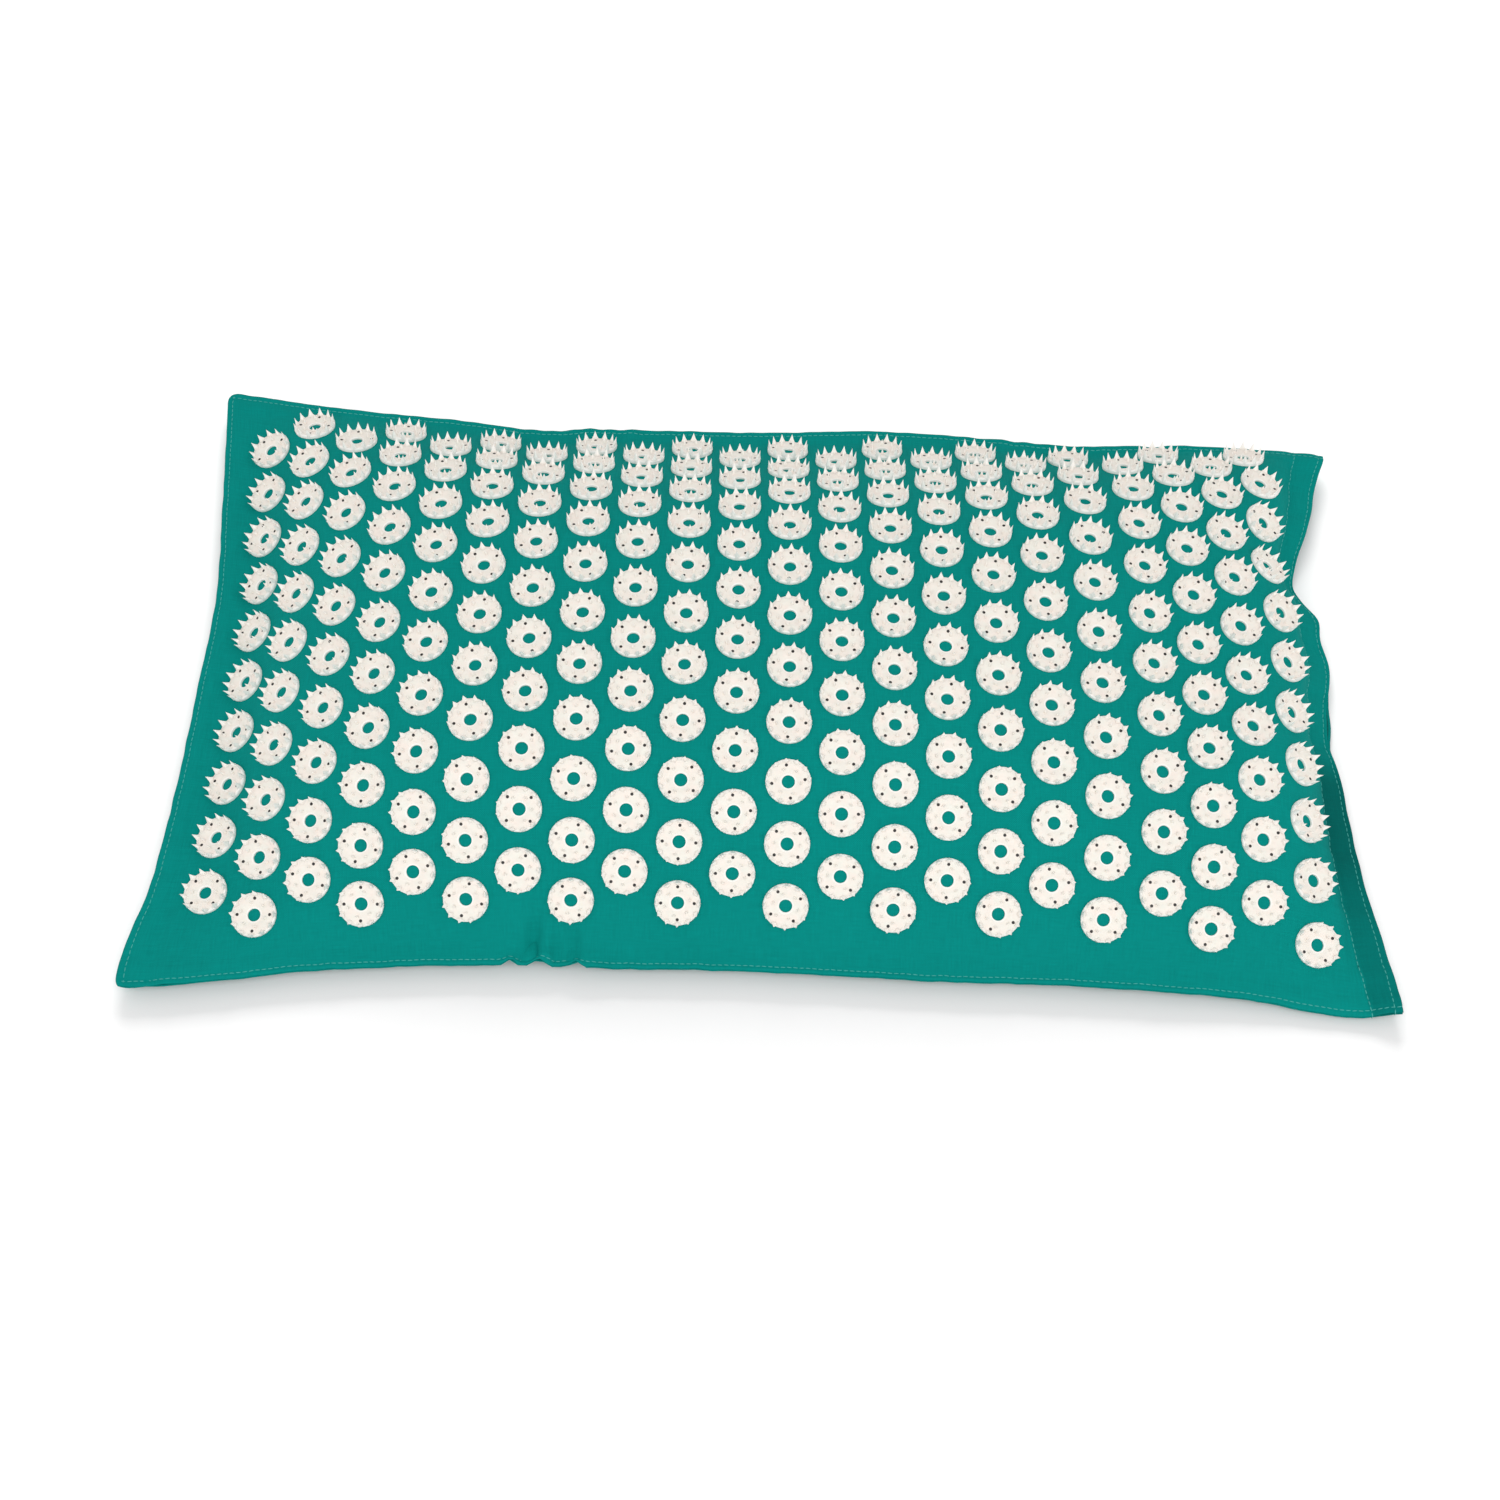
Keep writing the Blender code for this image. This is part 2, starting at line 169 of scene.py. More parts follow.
class StageSettings(bpy.types.PropertyGroup):
    """Camera, lamps and floor"""

    azimuth: angle("Azimuth", -0.85, "Turn of the camera round the mat")
    elevation: angle("Elevation", 61.11, "Height of the camera over the horizon")
    roll: angle("Roll", 1.84, "Roll of the camera")
    distance: length("Distance", 1.2143, "Distance of the camera from what it looks at")
    look_x: length("Look at X", -0.00885, "Point that the camera looks at")
    look_y: length("Look at Y", -0.04236, "Point that the camera looks at")
    lens: plain("Lens", 50.42, "Focal length in millimetres on a sensor 36 mm wide")
    ambient: plain("Ambient", 0.70, "Strength of the even light from all round")
    key: plain("Key", 14.3, "Power of the lamp overhead in watts")
    back: plain("Back", 75.0, "Power of the low lamp behind the mat in watts")
    floor_size: length("Floor", 2.4, "Side of the floor")


SETTINGS = {
    "mat_shape": MatShapeSettings,
    "mat_discs": DiscSettings,
    "mat_stitches": StitchSettings,
    "mat_finishes": FinishSettings,
    "mat_stage": StageSettings,
}

# How the cover's draw-in spreads and how its crown falls.
DRAW_POWER = 3
GATHER_POWER = 16
FLARE_POWER = 5
EASE_POWER = 8
NOTCH_PLACE = 0.47
NOTCH_WIDTHS = (0.15, 0.22)
LEFT_CROWN = (3.9, 0.96)
MOUTH_CROWN = (2.3, 0.51)
DEPTH_CROWN = (2.9, 1.47)
CORNER_CROWN = (2.5, 0.9)
CORNER_POWER = 3

# The numbers in these groups are a place along an edge, a reach and a width. Places along the seams are in
# metres, and places along the mouth are in shares of half the depth.
FRONT_BOWS = (
    (-0.262, 0.0024, 0.034),
    (-0.194, 0.0048, 0.080),
    (0.091, -0.0030, 0.080),
    (0.275, 0.0020, 0.028),
)
BACK_BOWS = ((-0.145, 0.0040, 0.030), (0.065, -0.0030, 0.050), (0.190, 0.0048, 0.050))
LEFT_BOWS = ((0.055, 0.0030, 0.050), (-0.175, -0.0045, 0.030))
FRONT_NICKS = ((-0.1416, 0.0032, 0.0036), (-0.1255, 0.0026, 0.0046), (-0.1035, 0.0036, 0.0034))
MOUTH_BOWS = ((0.315, 0.0035, 0.050), (0.130, 0.0046, 0.09), (-0.130, -0.0020, 0.08), (-0.600, -0.0018, 0.15))
MOUTH_FOLDS = ((0.490, -0.0042, 0.075), (0.310, 0.0030, 0.075))

# Gathers of the seams, and the creases that run in from them: bunches, and the height between the bunches.
FRONT_GATHERS = (((-0.112, 0.0012, 0.024),), 0.0003)
BACK_GATHERS = (((-0.115, 0.0007, 0.030), (0.150, 0.0004, 0.02)), 0.0002)
LEFT_GATHERS = ((), 0.0003)
FRONT_CREASES = (((-0.112, 0.0008, 0.026), (0.16, 0.0003, 0.05)), 0.00025)
BACK_CREASES = (((-0.095, 0.0006, 0.035), (0.22, 0.0004, 0.04)), 0.00025)
LEFT_CREASES = ((), 0.0003)

# How far bows, gathers, nicks and creases run in from their seam.
BOW_RUN = 0.045
GATHER_RUN = 0.014
EDGE_RUN = 0.010
NICK_RUN = 0.008
CREASE_RUN = 0.022
CREASE_START = 0.006
EDGE_SHARE = 0.6
NICK_LIFT = 0.7

# Folds that run in from the nicks: place, lean and depth. Each has a ridge beside it.
NICK_FOLDS = ((-0.1300, 0.12, 0.0042), (-0.1061, 0.0, 0.0028))
FOLD_WIDTH = 0.0040
FOLD_LENGTH = 0.045
RIDGE_WIDTH = 0.0045
RIDGE_STEP = 0.0080
RIDGE_SHARE = 0.5

# Swellings beside the front half of the mouth: height, distance from the mouth and width, place along the
# mouth and width.
MOUTH_SWELLS = ((0.0045, 0.062, 0.024, -0.40, 0.26), (-0.0030, 0.022, 0.010, -0.42, 0.28))

# How far the mouth's folds run in from it, and how far they keep from its two ends.
MOUTH_RUN = 0.038
FRONT_REST = 0.03
BACK_REST = 0.02
LIP_PLACE = -0.06
LIP_WIDTH = 0.10
LIP_RUN = 0.007

# The hem at the front of the mouth: where its sag is deepest, in mouth bands, its spread and how far it goes.
SAG_PLACE = 1.1
SAG_WIDTHS = (0.055, 0.013)
SAG_RUN = 0.050
SAG_OUT = 0.50
SAG_DOWN = 0.80

# How far round corners are turned in, and how far the back corner of the mouth stands out.
CORNER_TURN = 0.0028
CORNER_REACH = 0.0058
CORNER_WIDTHS = (0.030, 0.018)

# Painted shade on the front part of the mouth's band, where the cloth turns down, from where it starts to its
# soft edge.
BAND_SHADE = 0.55
BAND_START = -0.14
BAND_FADE = 0.16
BAND_EDGE = 0.0015

# Painted shade in the tuck beside it: its place and width along the mouth, and its reach from the band.
TUCK_SHADE = 0.6
TUCK_PLACE = -0.40
TUCK_WIDTH = 0.24
TUCK_REACH = 0.0100
TUCK_INSET = 0.004

# How the band narrows at the front, and the widths over which its relief rises at the mouth and falls inside.
BAND_NARROWING = 0.30
NARROWING_POWER = 8
BAND_RISE = 0.004
BAND_FALL = 0.008

# The welt's height, and the widths over which it rises and falls. Grooves of stitches: depth and width.
WELT_HEIGHT = 0.0006
WELT_RISE = 0.0012
WELT_FALL = 0.003
SEAM_GROOVE = (0.0006, 0.0008)
BAND_GROOVE = (0.0005, 0.0026)
LIP_GROOVE = (0.0004, 0.0009)

# Long folds of the slack cloth on the left: height, distance from the seam and width, end and its width.
SLACK_FOLDS = ((-0.0009, 0.013, 0.0035, 0.25, 0.5), (0.0006, 0.019, 0.005, 0.3, 0.6))

# Wavelengths along the seams, and uneven waves of the cloth with their heights, wavelengths and seeds.
GATHER_WAVES = (0.0123, 0.0171, 0.0287, 0.053)
EDGE_WAVES = (0.019, 0.037, 0.091)
CREASE_WAVES = (0.0105, 0.0147, 0.0231, 0.041)
MOUTH_WAVES = (0.0005, (0.031, 0.047, 0.083), 14)
LIP_WAVES = (0.0002, (0.023, 0.061), 17)
BAND_WAVES = (0.00035, (0.0113, 0.0171, 0.027), 24)
LONG_WAVES = (0.00035, (0.083, 0.121, 0.197), 15)
CROSS_WAVES = (0.00025, (0.067, 0.103), 16)
LONG_LEAN = 0.35
CROSS_LEAN = -0.3
CALM_RUN = 0.03
LEVEL_RUN = 0.045

# Finest step, coarsest step and growth of the grids, along the length and across the depth.
TOP_STEPS = ((0.0007, 0.0026, 1.07), (0.0007, 0.0030, 1.10))
BOTTOM_STEPS = ((0.0009, 0.0050, 1.16), (0.0009, 0.0050, 1.16))
PAD_STEPS = ((0.002, 0.006, 1.2), (0.002, 0.006, 1.2))

# Grid lines of a tape across and along it, and steps of a walk over half the cover.
TAPE_LINES = (9, 160)
WALK_STEPS = 400

# How the disc pattern leaves a regular grid. Its places are shares of half the length.
CROWDING_POWER = 6
SET_OUT_POWER = 7
DRIFT_POWERS = (2, 6)
SPREAD_PLACE = 0.65
SPREAD_WIDTH = 0.09
DRAW_START = 0.72
DRAW_RUN = 0.14

# Width over which the cloth rises from the level place under a disc, and the disc's height over it.
PRESS_RUN = 0.006
DISC_LIFT = 0.00005

# Rows of stitches: where they end, the points on each, and the thread's lift and height in its widths.
ROW_END = 0.997
HEM_INSET = 0.0012
ROW_POINTS = 360
THREAD_LIFT = 0.12
THREAD_FLATNESS = 0.8

# A disc from its foot round its rim to the hole, in radii and plates, and its spikes: places in radii, and the
# width against the foot at each share of the height. Pinholes are in metres.
DISC_PROFILE = ((0.985, 0), (1, 0.45), (0.985, 0.82), (0.935, 1), (0.60, 0.80))
OUTER_PLACE = 0.88
OUTER_TIP = 0.98
INNER_PLACE = 0.56
OUTER_TAPER = ((0, 1.0), (0.42, 0.46))
INNER_TAPER = ((0, 1.0),)
INNER_BASE = 0.45
SPIKE_SINK = 0.55
SPIKE_FLATNESS = 0.6
SHARP_EDGE = math.radians(50)
PINHOLE_PLACE = (0.0064, 0.0064)
PINHOLE_RADIUS = 0.00095
# The pinholes are not cut; each is a dark dot of painted shade in this colour.
PINHOLE_SHADE_COLOUR = (0.010, 0.006, 0.005, 1)

# Where the painted highlight of a disc starts and is full: at the rim in radii, from the hole in metres,
# and up the spikes in plates.
HIGHLIGHT_RIM = (0.90, 0.95)
HIGHLIGHT_BRIM = (0.0011, 0.0005)
HIGHLIGHT_SPIKES = (1.1, 1.5)

# The cotton's weave in metres, and the scales of its slubs, its threads and its fading.
WEAVE_PITCH = 0.00056
SLUB_SCALE = 90
THREAD_SCALE = 1500
FADE_SCALE = 9.0

# Lamps: place, size and tint.
KEY_LAMP = ((0.08, -0.90, 1.50), (2.8, 1.0), (0.97, 1.0, 1.02))
BACK_LAMP = ((-0.15, 2.3, 1.2), (1.5, 1.5), (1, 1, 1))

# The floor lies just under the mat. Its first colour is for the light that it throws back, its second is seen.
FLOOR_DROP = 0.0002
FLOOR_TONES = (0.80, 0.80, 0.80, 1), (0.835, 0.826, 0.822, 1)


# The cover's shape. u runs from -1 at the left to 1 at the mouth, v from -1 at the front to 1 at the back.


def smooth(share):
    """0 to 1 with level ends."""
    share = np.clip(share, 0, 1)
    return share * share * (3 - 2 * share)


def bell(distance, width):
    return np.exp(-((distance / width) ** 2))


def unit(vectors):
    return vectors / np.linalg.norm(vectors, axis=-1, keepdims=True)


def bumps(place, parts, base=0):
    """A base with a bell for each part: its middle, height and width."""
    return base + sum(height * bell(place - middle, width) for middle, height, width in parts)


def halves(s):
    return s.mat_length / 2, s.mat_depth / 2


def plan(s, u, v):
    """Where a point of the cover lies, seen from above."""
    half_length, half_depth = halves(s)
    bow = 1 - v * v
    left = s.left_draw_in * bow * ((1 - u) / 2) ** DRAW_POWER
    mouth = s.mouth_draw_in * bow * ((1 + u) / 2) ** DRAW_POWER
    width = np.where(v < NOTCH_PLACE, *NOTCH_WIDTHS)
    pinch = bell(v - NOTCH_PLACE, width) * (1 - v**10)
    mouth = mouth + (s.mouth_gather * bow * bow + s.mouth_notch * pinch) * ((1 + u) / 2) ** GATHER_POWER
    flare = s.front_flare * u**FLARE_POWER * ((1 - v) / 2) ** DRAW_POWER
    flare = flare - s.front_ease * u * u * np.sin(math.pi * u) * ((1 - v) / 2) ** EASE_POWER
    front = s.front_draw_in * (1 - u * u) * ((1 - v) / 2) ** DRAW_POWER
    back = (s.back_draw_in * (1 - u * u) + s.back_slant * u**3) * ((1 + v) / 2) ** DRAW_POWER
    return half_length * u + left - mouth + flare, half_depth * v + front - back - s.back_slant / 2


def insets(s, u, v):
    """Distances from the left seam, the mouth, the front seam and the back seam."""
    half_length, half_depth = halves(s)
    return (1 + u) * half_length, (1 - u) * half_length, (1 + v) * half_depth, (1 - v) * half_depth


def crown(s, u, v):
    """Rise of the filled cover, from 0 at the edges to 1 in the middle."""
    half_length, half_depth = halves(s)
    slack = np.where(u < 0, s.left_slack, s.mouth_band)
    power = np.where(u < 0, LEFT_CROWN[0], MOUTH_CROWN[0])
    fall = np.where(u < 0, LEFT_CROWN[1], MOUTH_CROWN[1])
    along = np.minimum(np.abs(u) * half_length / (half_length - slack), 1)
    across = np.minimum(np.abs(v) * half_depth / (half_depth - s.seam_flange), 1)
    corner = np.where(v > 0, np.abs(u) ** CORNER_POWER, 0)
    depth_power = DEPTH_CROWN[0] + CORNER_CROWN[0] * corner
    depth_fall = DEPTH_CROWN[1] - CORNER_CROWN[1] * corner
    return (1 - along**power) ** fall * (1 - across**depth_power) ** depth_fall


def seam_point(s, u, v):
    """The surface in which the two cloths meet."""
    inset = (1 - u) * s.mat_length / 2
    tilt = (s.mouth_drop + s.mouth_lift) * smooth(inset / s.mouth_tilt_run) - s.mouth_drop
    tilt = tilt - s.mouth_lift * smooth((inset - s.mouth_tilt_run) / s.mouth_fade)
    x, y = plan(s, u, v)
    return np.stack([x, y, s.seam_height + tilt * (1 - v * v)], axis=-1)


def layer(s, u, v, height):
    """A surface parallel to the seam, at a height over it."""
    step = 1 / WALK_STEPS
    along = seam_point(s, u + step, v) - seam_point(s, u - step, v)
    across = seam_point(s, u, v + step) - seam_point(s, u, v - step)
    return seam_point(s, u, v) + unit(np.cross(along, across)) * np.asarray(height)[..., None]


def half_gap(s, u, v):
    """Half the space between the cloths at their edges. Inside the mouth it holds a tape and its gaps."""
    inset = (1 - u) * s.mat_length / 2
    parted = 1 - smooth((inset - s.mouth_band) / s.mouth_fade)
    parted = parted * smooth((1 - np.abs(v)) * s.mat_depth / 2 / s.seam_flange)
    closed = s.fit_gap / 2
    return closed + (s.tape_thickness + 1.5 * s.fit_gap - closed) * parted


def top_face(s, u, v):
    """Outer face of the top cloth, before its puckers and folds."""
    point = layer(s, u, v, half_gap(s, u, v) + s.cloth_thickness)
    point[..., 2] += s.crown_height * crown(s, u, v)
    return point


def under_face(s, u, v):
    """Outer face of the bottom cloth: level on the floor, and up to the seam near the edges."""
    on_floor = 1
    for inset, flat in zip(insets(s, u, v), (s.seam_flange, s.mouth_band, s.seam_flange, s.seam_flange)):
        on_floor = on_floor * smooth((inset - flat) / s.underside_run)
    point = layer(s, u, v, -half_gap(s, u, v) - s.cloth_thickness)
    point[..., 2] *= 1 - on_floor
    return point


def ripples(place, wavelengths, seed):
    """Uneven waves along a seam, about 1 high."""
    draw = np.random.default_rng(seed)
    waves = 0
    for wavelength in wavelengths:
        waves = waves + np.sin(2 * math.pi * place / wavelength + draw.uniform(0, 2 * math.pi))
    return waves / len(wavelengths) ** 0.5


def cloth_waves(place, height, wavelengths, seed):
    return height * ripples(place, wavelengths, seed)


def mouth_band_inset(s, v):
    """Distance of the band's inner stitches from the mouth's edge, less at the front corner."""
    return s.mouth_band * (1 - BAND_NARROWING * ((1 - v) / 2) ** NARROWING_POWER)


def pressed(s, u, v):
    """How much shade is painted into the colour in the front half of the mouth, on the band and in the tuck.
    """
    past_band = insets(s, u, v)[1] - mouth_band_inset(s, v)
    band = (1 - smooth(past_band / BAND_EDGE + 0.5)) * smooth((BAND_START - v) / BAND_FADE)
    tuck = bell(np.maximum(past_band + TUCK_INSET, 0), TUCK_REACH) * bell(v - TUCK_PLACE, TUCK_WIDTH)
    return np.clip(BAND_SHADE * band + TUCK_SHADE * tuck, 0, 1)


def sway(s, u, v):
    """How the sewn edges and the mouth lie out of their smooth run. Both cloths follow it."""
    x, y = u * halves(s)[0], v * halves(s)[1]
    from_left, from_mouth, from_front, from_back = insets(s, u, v)
    shift = np.zeros((*np.shape(u), 3))

    # Corners are turned in round, each by its share.
    for a, b, way_x, way_y, share in (
        (from_left, from_front, 1, 1, 0.6),
        (from_left, from_back, 1, -1, 0.9),
        (from_mouth, from_back, -1, -1, 0.3),
    ):
        reach = share * CORNER_TURN * np.clip(1 - np.hypot(a, b) / s.corner_round, 0, 1) ** 2
        shift[..., 0] += way_x * reach
        shift[..., 1] += way_y * reach

    # The sewn seams bow a little, and pucker where the cloth was eased in.
    for place, distance, bows, gathers, axis, way, seed in (
        (x, from_front, FRONT_BOWS, FRONT_GATHERS, 1, 1, 11),
        (x, from_back, BACK_BOWS, BACK_GATHERS, 1, -1, 12),
        (y, from_left, LEFT_BOWS, LEFT_GATHERS, 0, 1, 13),
    ):
        ease = bumps(place, *gathers)
        shift[..., axis] += way * bumps(place, bows) * bell(distance, BOW_RUN)
        shift[..., 2] += ease * np.exp(-distance / GATHER_RUN) * ripples(place, GATHER_WAVES, seed)
        wander = EDGE_SHARE * ease * np.exp(-distance / EDGE_RUN) * ripples(place, EDGE_WAVES, seed)
        shift[..., axis] += way * wander
    nick = bumps(x, FRONT_NICKS) * np.exp(-from_front / NICK_RUN)
    shift[..., 1] += nick
    shift[..., 2] += NICK_LIFT * nick

    # The seam sags where the mouth's band starts.
    start = x - (s.mat_length / 2 - SAG_PLACE * s.mouth_band)
    sag = s.hem_sag * bell(start, np.where(start < 0, *SAG_WIDTHS)) * bell(from_front, SAG_RUN)
    shift[..., 1] -= SAG_OUT * sag
    shift[..., 2] -= SAG_DOWN * sag

    # The open mouth hangs in soft folds, pinched once behind its middle, and its back corner stands out.
    near_mouth = bell(from_mouth, MOUTH_RUN) * smooth(from_front / FRONT_REST) * smooth(from_back / BACK_REST)
    shift[..., 2] += near_mouth * (cloth_waves(y, *MOUTH_WAVES) + bumps(v, MOUTH_FOLDS))
    shift[..., 0] += near_mouth * (cloth_waves(y, *LIP_WAVES) + bumps(v, MOUTH_BOWS))
    for rise, inset, inset_width, place, width in MOUTH_SWELLS:
        shift[..., 2] += rise * bell(from_mouth - inset, inset_width) * bell(v - place, width)
    shift[..., 0] += CORNER_REACH * bell(from_mouth, CORNER_WIDTHS[0]) * bell(from_back, CORNER_WIDTHS[1])
    return shift


def relief(s, u, v, side):
    """Welts, grooves and soft folds, as a height over the smooth cloth. side is 1 on top, -1 underneath."""
    x, y = u * halves(s)[0], v * halves(s)[1]
    from_left, from_mouth, from_front, from_back = insets(s, u, v)
    seam = np.minimum(np.minimum(from_left, from_front), from_back)
    height = WELT_HEIGHT * (smooth(seam / WELT_RISE) - smooth((seam - s.welt_width) / WELT_FALL))

    # Small creases run in from the puckered seams, and folds from the nicks.
    for place, distance, creases, seed in (
        (x, from_front, FRONT_CREASES, 21),
        (x, from_back, BACK_CREASES, 22),
        (y, from_left, LEFT_CREASES, 23),
    ):
        fade = smooth(distance / CREASE_START) * np.exp(-distance / CREASE_RUN)
        height = height + bumps(place, *creases) * fade * ripples(place, CREASE_WAVES, seed)
    run = smooth(from_front / CREASE_START) * (1 - smooth((from_front - CREASE_START) / FOLD_LENGTH))
    for place, lean, depth in NICK_FOLDS:
        line = x - place - lean * from_front
        ridge = RIDGE_SHARE * bell(line - RIDGE_STEP, RIDGE_WIDTH)
        height = height + depth * run * (ridge - bell(line, FOLD_WIDTH))

    # Rows of stitches draw the cloth in, and the mouth's band waves between its two rows.
    band_inset = mouth_band_inset(s, v)
    for distance, (depth, width) in (
        (seam - s.stitch_inset, SEAM_GROOVE),
        (from_mouth - band_inset, BAND_GROOVE),
        (from_mouth - s.stitch_inset, LIP_GROOVE),
    ):
        height = height - depth * bell(distance, width)
    band = smooth(from_mouth / BAND_RISE) * (1 - smooth((from_mouth - band_inset) / BAND_FALL))
    height = height + band * cloth_waves(y, *BAND_WAVES)

    # Slack cloth on the left lies in long shallow folds along the seam.
    for rise, inset, width, end, run in SLACK_FOLDS:
        height = height + rise * bell(from_left - inset, width) * smooth((end - v) / run)

    # The cloth is never drum tight.
    waves = cloth_waves(x + LONG_LEAN * y, *LONG_WAVES) + cloth_waves(y + CROSS_LEAN * x, *CROSS_WAVES)
    height = height + waves * smooth(seam / CALM_RUN) * smooth(from_mouth / CALM_RUN)
    if side < 0:
        height = height * (1 - smooth(seam / LEVEL_RUN) * smooth(from_mouth / LEVEL_RUN))
    return height


def graded_lines(room, fine, coarse, growth):
    """Grid lines from -1 to 1, close together at both ends."""
    steps = [fine]
    while sum(steps) < room / 2 and steps[-1] < coarse:
        steps.append(min(steps[-1] * growth, coarse))
    left = room - 2 * sum(steps)
    middle = [left / math.ceil(left / coarse)] * math.ceil(left / coarse)
    marks = np.concatenate([[0], np.cumsum([*steps, *middle, *reversed(steps)])])
    return 2 * marks / marks[-1] - 1


def grid_normals(points):
    return unit(np.cross(np.gradient(points, axis=0), np.gradient(points, axis=1)))


class Layer:
    """A layer of the cover as a grid of points on its outer face."""

    def __init__(self, s, face, side, u_lines, v_lines, lip=0.0):
        self.s, self.side = s, side
        self.u_lines, self.v_lines = u_lines, v_lines
        self.u, self.v = np.meshgrid(u_lines, v_lines, indexing="ij")
        reach = lip * bell((1 - self.u) * s.mat_length / 2, LIP_RUN) * bell(self.v - LIP_PLACE, LIP_WIDTH)
        self.points = face(s, self.u + reach / (s.mat_length / 2), self.v) + sway(s, self.u, self.v)

    def add_relief(self):
        self.points = self.points + self.outwards() * relief(self.s, self.u, self.v, self.side)[..., None]
        return self

    def outwards(self):
        return grid_normals(self.points) * self.side

    def at(self, u, v, lift=0.0):
        """Points on the layer, by its own coordinates, with their normals."""

        def cell(lines, marks):
            k = np.clip(np.searchsorted(lines, marks) - 1, 0, len(lines) - 2)
            return k, ((marks - lines[k]) / (lines[k + 1] - lines[k]))[..., None]

        def mix(grid):
            low = grid[i, j] * (1 - a) + grid[i + 1, j] * a
            high = grid[i, j + 1] * (1 - a) + grid[i + 1, j + 1] * a
            return low * (1 - b) + high * b

        (i, a), (j, b) = cell(self.u_lines, u), cell(self.v_lines, v)
        normals = unit(mix(self.outwards()))
        return mix(self.points) + normals * lift, normals

    def press_flat(self, seats, radius, run):
        """Lay the cloth flat under each disc."""
        for centre, normal in seats:
            offset = self.points - centre
            height = offset @ normal
            reach = np.linalg.norm(offset - height[..., None] * normal, axis=-1)
            hold = (1 - smooth((reach - radius) / run)) * (np.abs(height) < radius)
            self.points = self.points - (hold * height)[..., None] * normal

    def build(self, name, material, thickness):
        """The layer as an object with its wall, and with its flat cut as the UV map."""
        mesh = bpy.data.meshes.new(name)
        faces = grid_faces(self.u.shape, self.side)
        mesh.from_pydata(self.points.reshape(-1, 3).tolist(), [], faces.tolist())
        half_length, half_depth = halves(self.s)
        flat = np.stack([self.u * half_length, self.v * half_depth], axis=-1).reshape(-1, 2)
        corners = np.empty(len(mesh.loops), np.int32)
        mesh.loops.foreach_get("vertex_index", corners)
        cut = mesh.uv_layers.new(name="flat_cut")
        cut.uv.foreach_set("vector", flat[corners].astype(np.float32).ravel())
        # Painted shade of the mouth's band and tuck, kept on the points for the finish.
        keep_on_points(mesh, "pressed", "FLOAT", "value", pressed(self.s, self.u, self.v))
        mesh.shade_smooth()
        piece = new_object(name, mesh, material)
        wall = piece.modifiers.new("wall", "SOLIDIFY")
        wall.thickness = thickness
        wall.offset = -1
        return as_plain_mesh(piece)


def grid_faces(shape, side):
    index = np.arange(shape[0] * shape[1]).reshape(shape)
    quads = np.stack([index[:-1, :-1], index[1:, :-1], index[1:, 1:], index[:-1, 1:]], axis=-1).reshape(-1, 4)
    return quads if side > 0 else quads[:, ::-1]


# Where the discs sit


def walk(point_at, distances):
    """The parameters at which a path through 0 has gone the given distances."""
    marks = np.linspace(-1, 1, 2 * WALK_STEPS + 1)
    points = point_at(marks)
    gone = np.concatenate([[0], np.cumsum(np.linalg.norm(np.diff(points, axis=0), axis=1))])
    gone -= gone[WALK_STEPS]
    return np.interp(distances, gone, marks), -gone[0], gone[-1]


def pitch(low_room, high_room, shift, clear, number):
    return 2 * (min(low_room + shift, high_room - shift) - clear) / (number - 1)


def disc_places(s, d):
    """For each column, the cover's coordinates of its discs."""

    def row(m):
        return top_face(s, m, 0 * m)

    _, left, right = walk(row, [0])
    _, front, back = walk(lambda m: top_face(s, 0 * m, m), [0])
    column_pitch = pitch(left, right, -d.columns_towards_left, d.end_clear, d.columns)
    row_pitch = pitch(front, back, d.rows_towards_back, d.edge_clear, d.rows)
    along = (np.arange(d.columns) - (d.columns - 1) / 2) * column_pitch - d.columns_towards_left
    along = along - d.left_set_out * np.maximum(0, along / along[0]) ** SET_OUT_POWER
    along = along + d.spread * bell(along / (s.mat_length / 2) - SPREAD_PLACE, SPREAD_WIDTH)
    places = []
    for column, u in enumerate(walk(row, along)[0]):
        rows = d.rows - 1 + column % 2
        across = (np.arange(rows) - (rows - 1) / 2) * row_pitch + d.rows_towards_back
        room = walk(lambda m: top_face(s, u + 0 * m, m), [0])[2]
        crowding = max(0, across[-1] + d.seam_clear - room)
        drawn = crowding + d.corner_draw * smooth((u - DRAW_START) / DRAW_RUN)
        across = across - drawn * np.maximum(0, across / across[-1]) ** CROWDING_POWER
        vs = walk(lambda m: top_face(s, u + 0 * m, m), across)[0]
        drift = d.back_row_drift * max(0, u) ** DRIFT_POWERS[0] * np.maximum(0, vs) ** DRIFT_POWERS[1]
        places.append((u - drift / (s.mat_length / 2), vs))
    return places


def disc_seats(cloth, d):
    """The plane of each disc, fitted to the cloth under it: a centre and a normal, column by column."""
    points = cloth.points.reshape(-1, 3)
    columns = []
    for us, vs in disc_places(cloth.s, d):
        centres, normals = cloth.at(us, vs)
        seats = []
        for centre, normal in zip(centres, normals):
            offset = points - centre
            near = offset[np.linalg.norm(offset, axis=1) < d.diameter / 2]
            fitted = np.linalg.svd(near - near.mean(axis=0))[2][2]
            fitted *= np.sign(fitted @ normal)
            seats.append((centre + fitted * (near.mean(axis=0) @ fitted), fitted))
        columns.append(seats)
    return columns


# Making pieces


def as_plain_mesh(piece):
    """Turn what the modifiers make into the object's own mesh."""
    evaluated = piece.evaluated_get(bpy.context.evaluated_depsgraph_get())
    mesh = bpy.data.meshes.new_from_object(evaluated)
    piece.modifiers.clear()
    piece.data = mesh
    mesh.name = piece.name
    return piece


def new_object(name, data, material=None):
    piece = bpy.data.objects.new(name, data)
    bpy.context.scene.collection.objects.link(piece)
    if material:
        data.materials.append(material)
    return piece


def object_from(bm, name, material=None):
    mesh = bpy.data.meshes.new(name)
    bm.to_mesh(mesh)
    bm.free()
    return new_object(name, mesh, material)


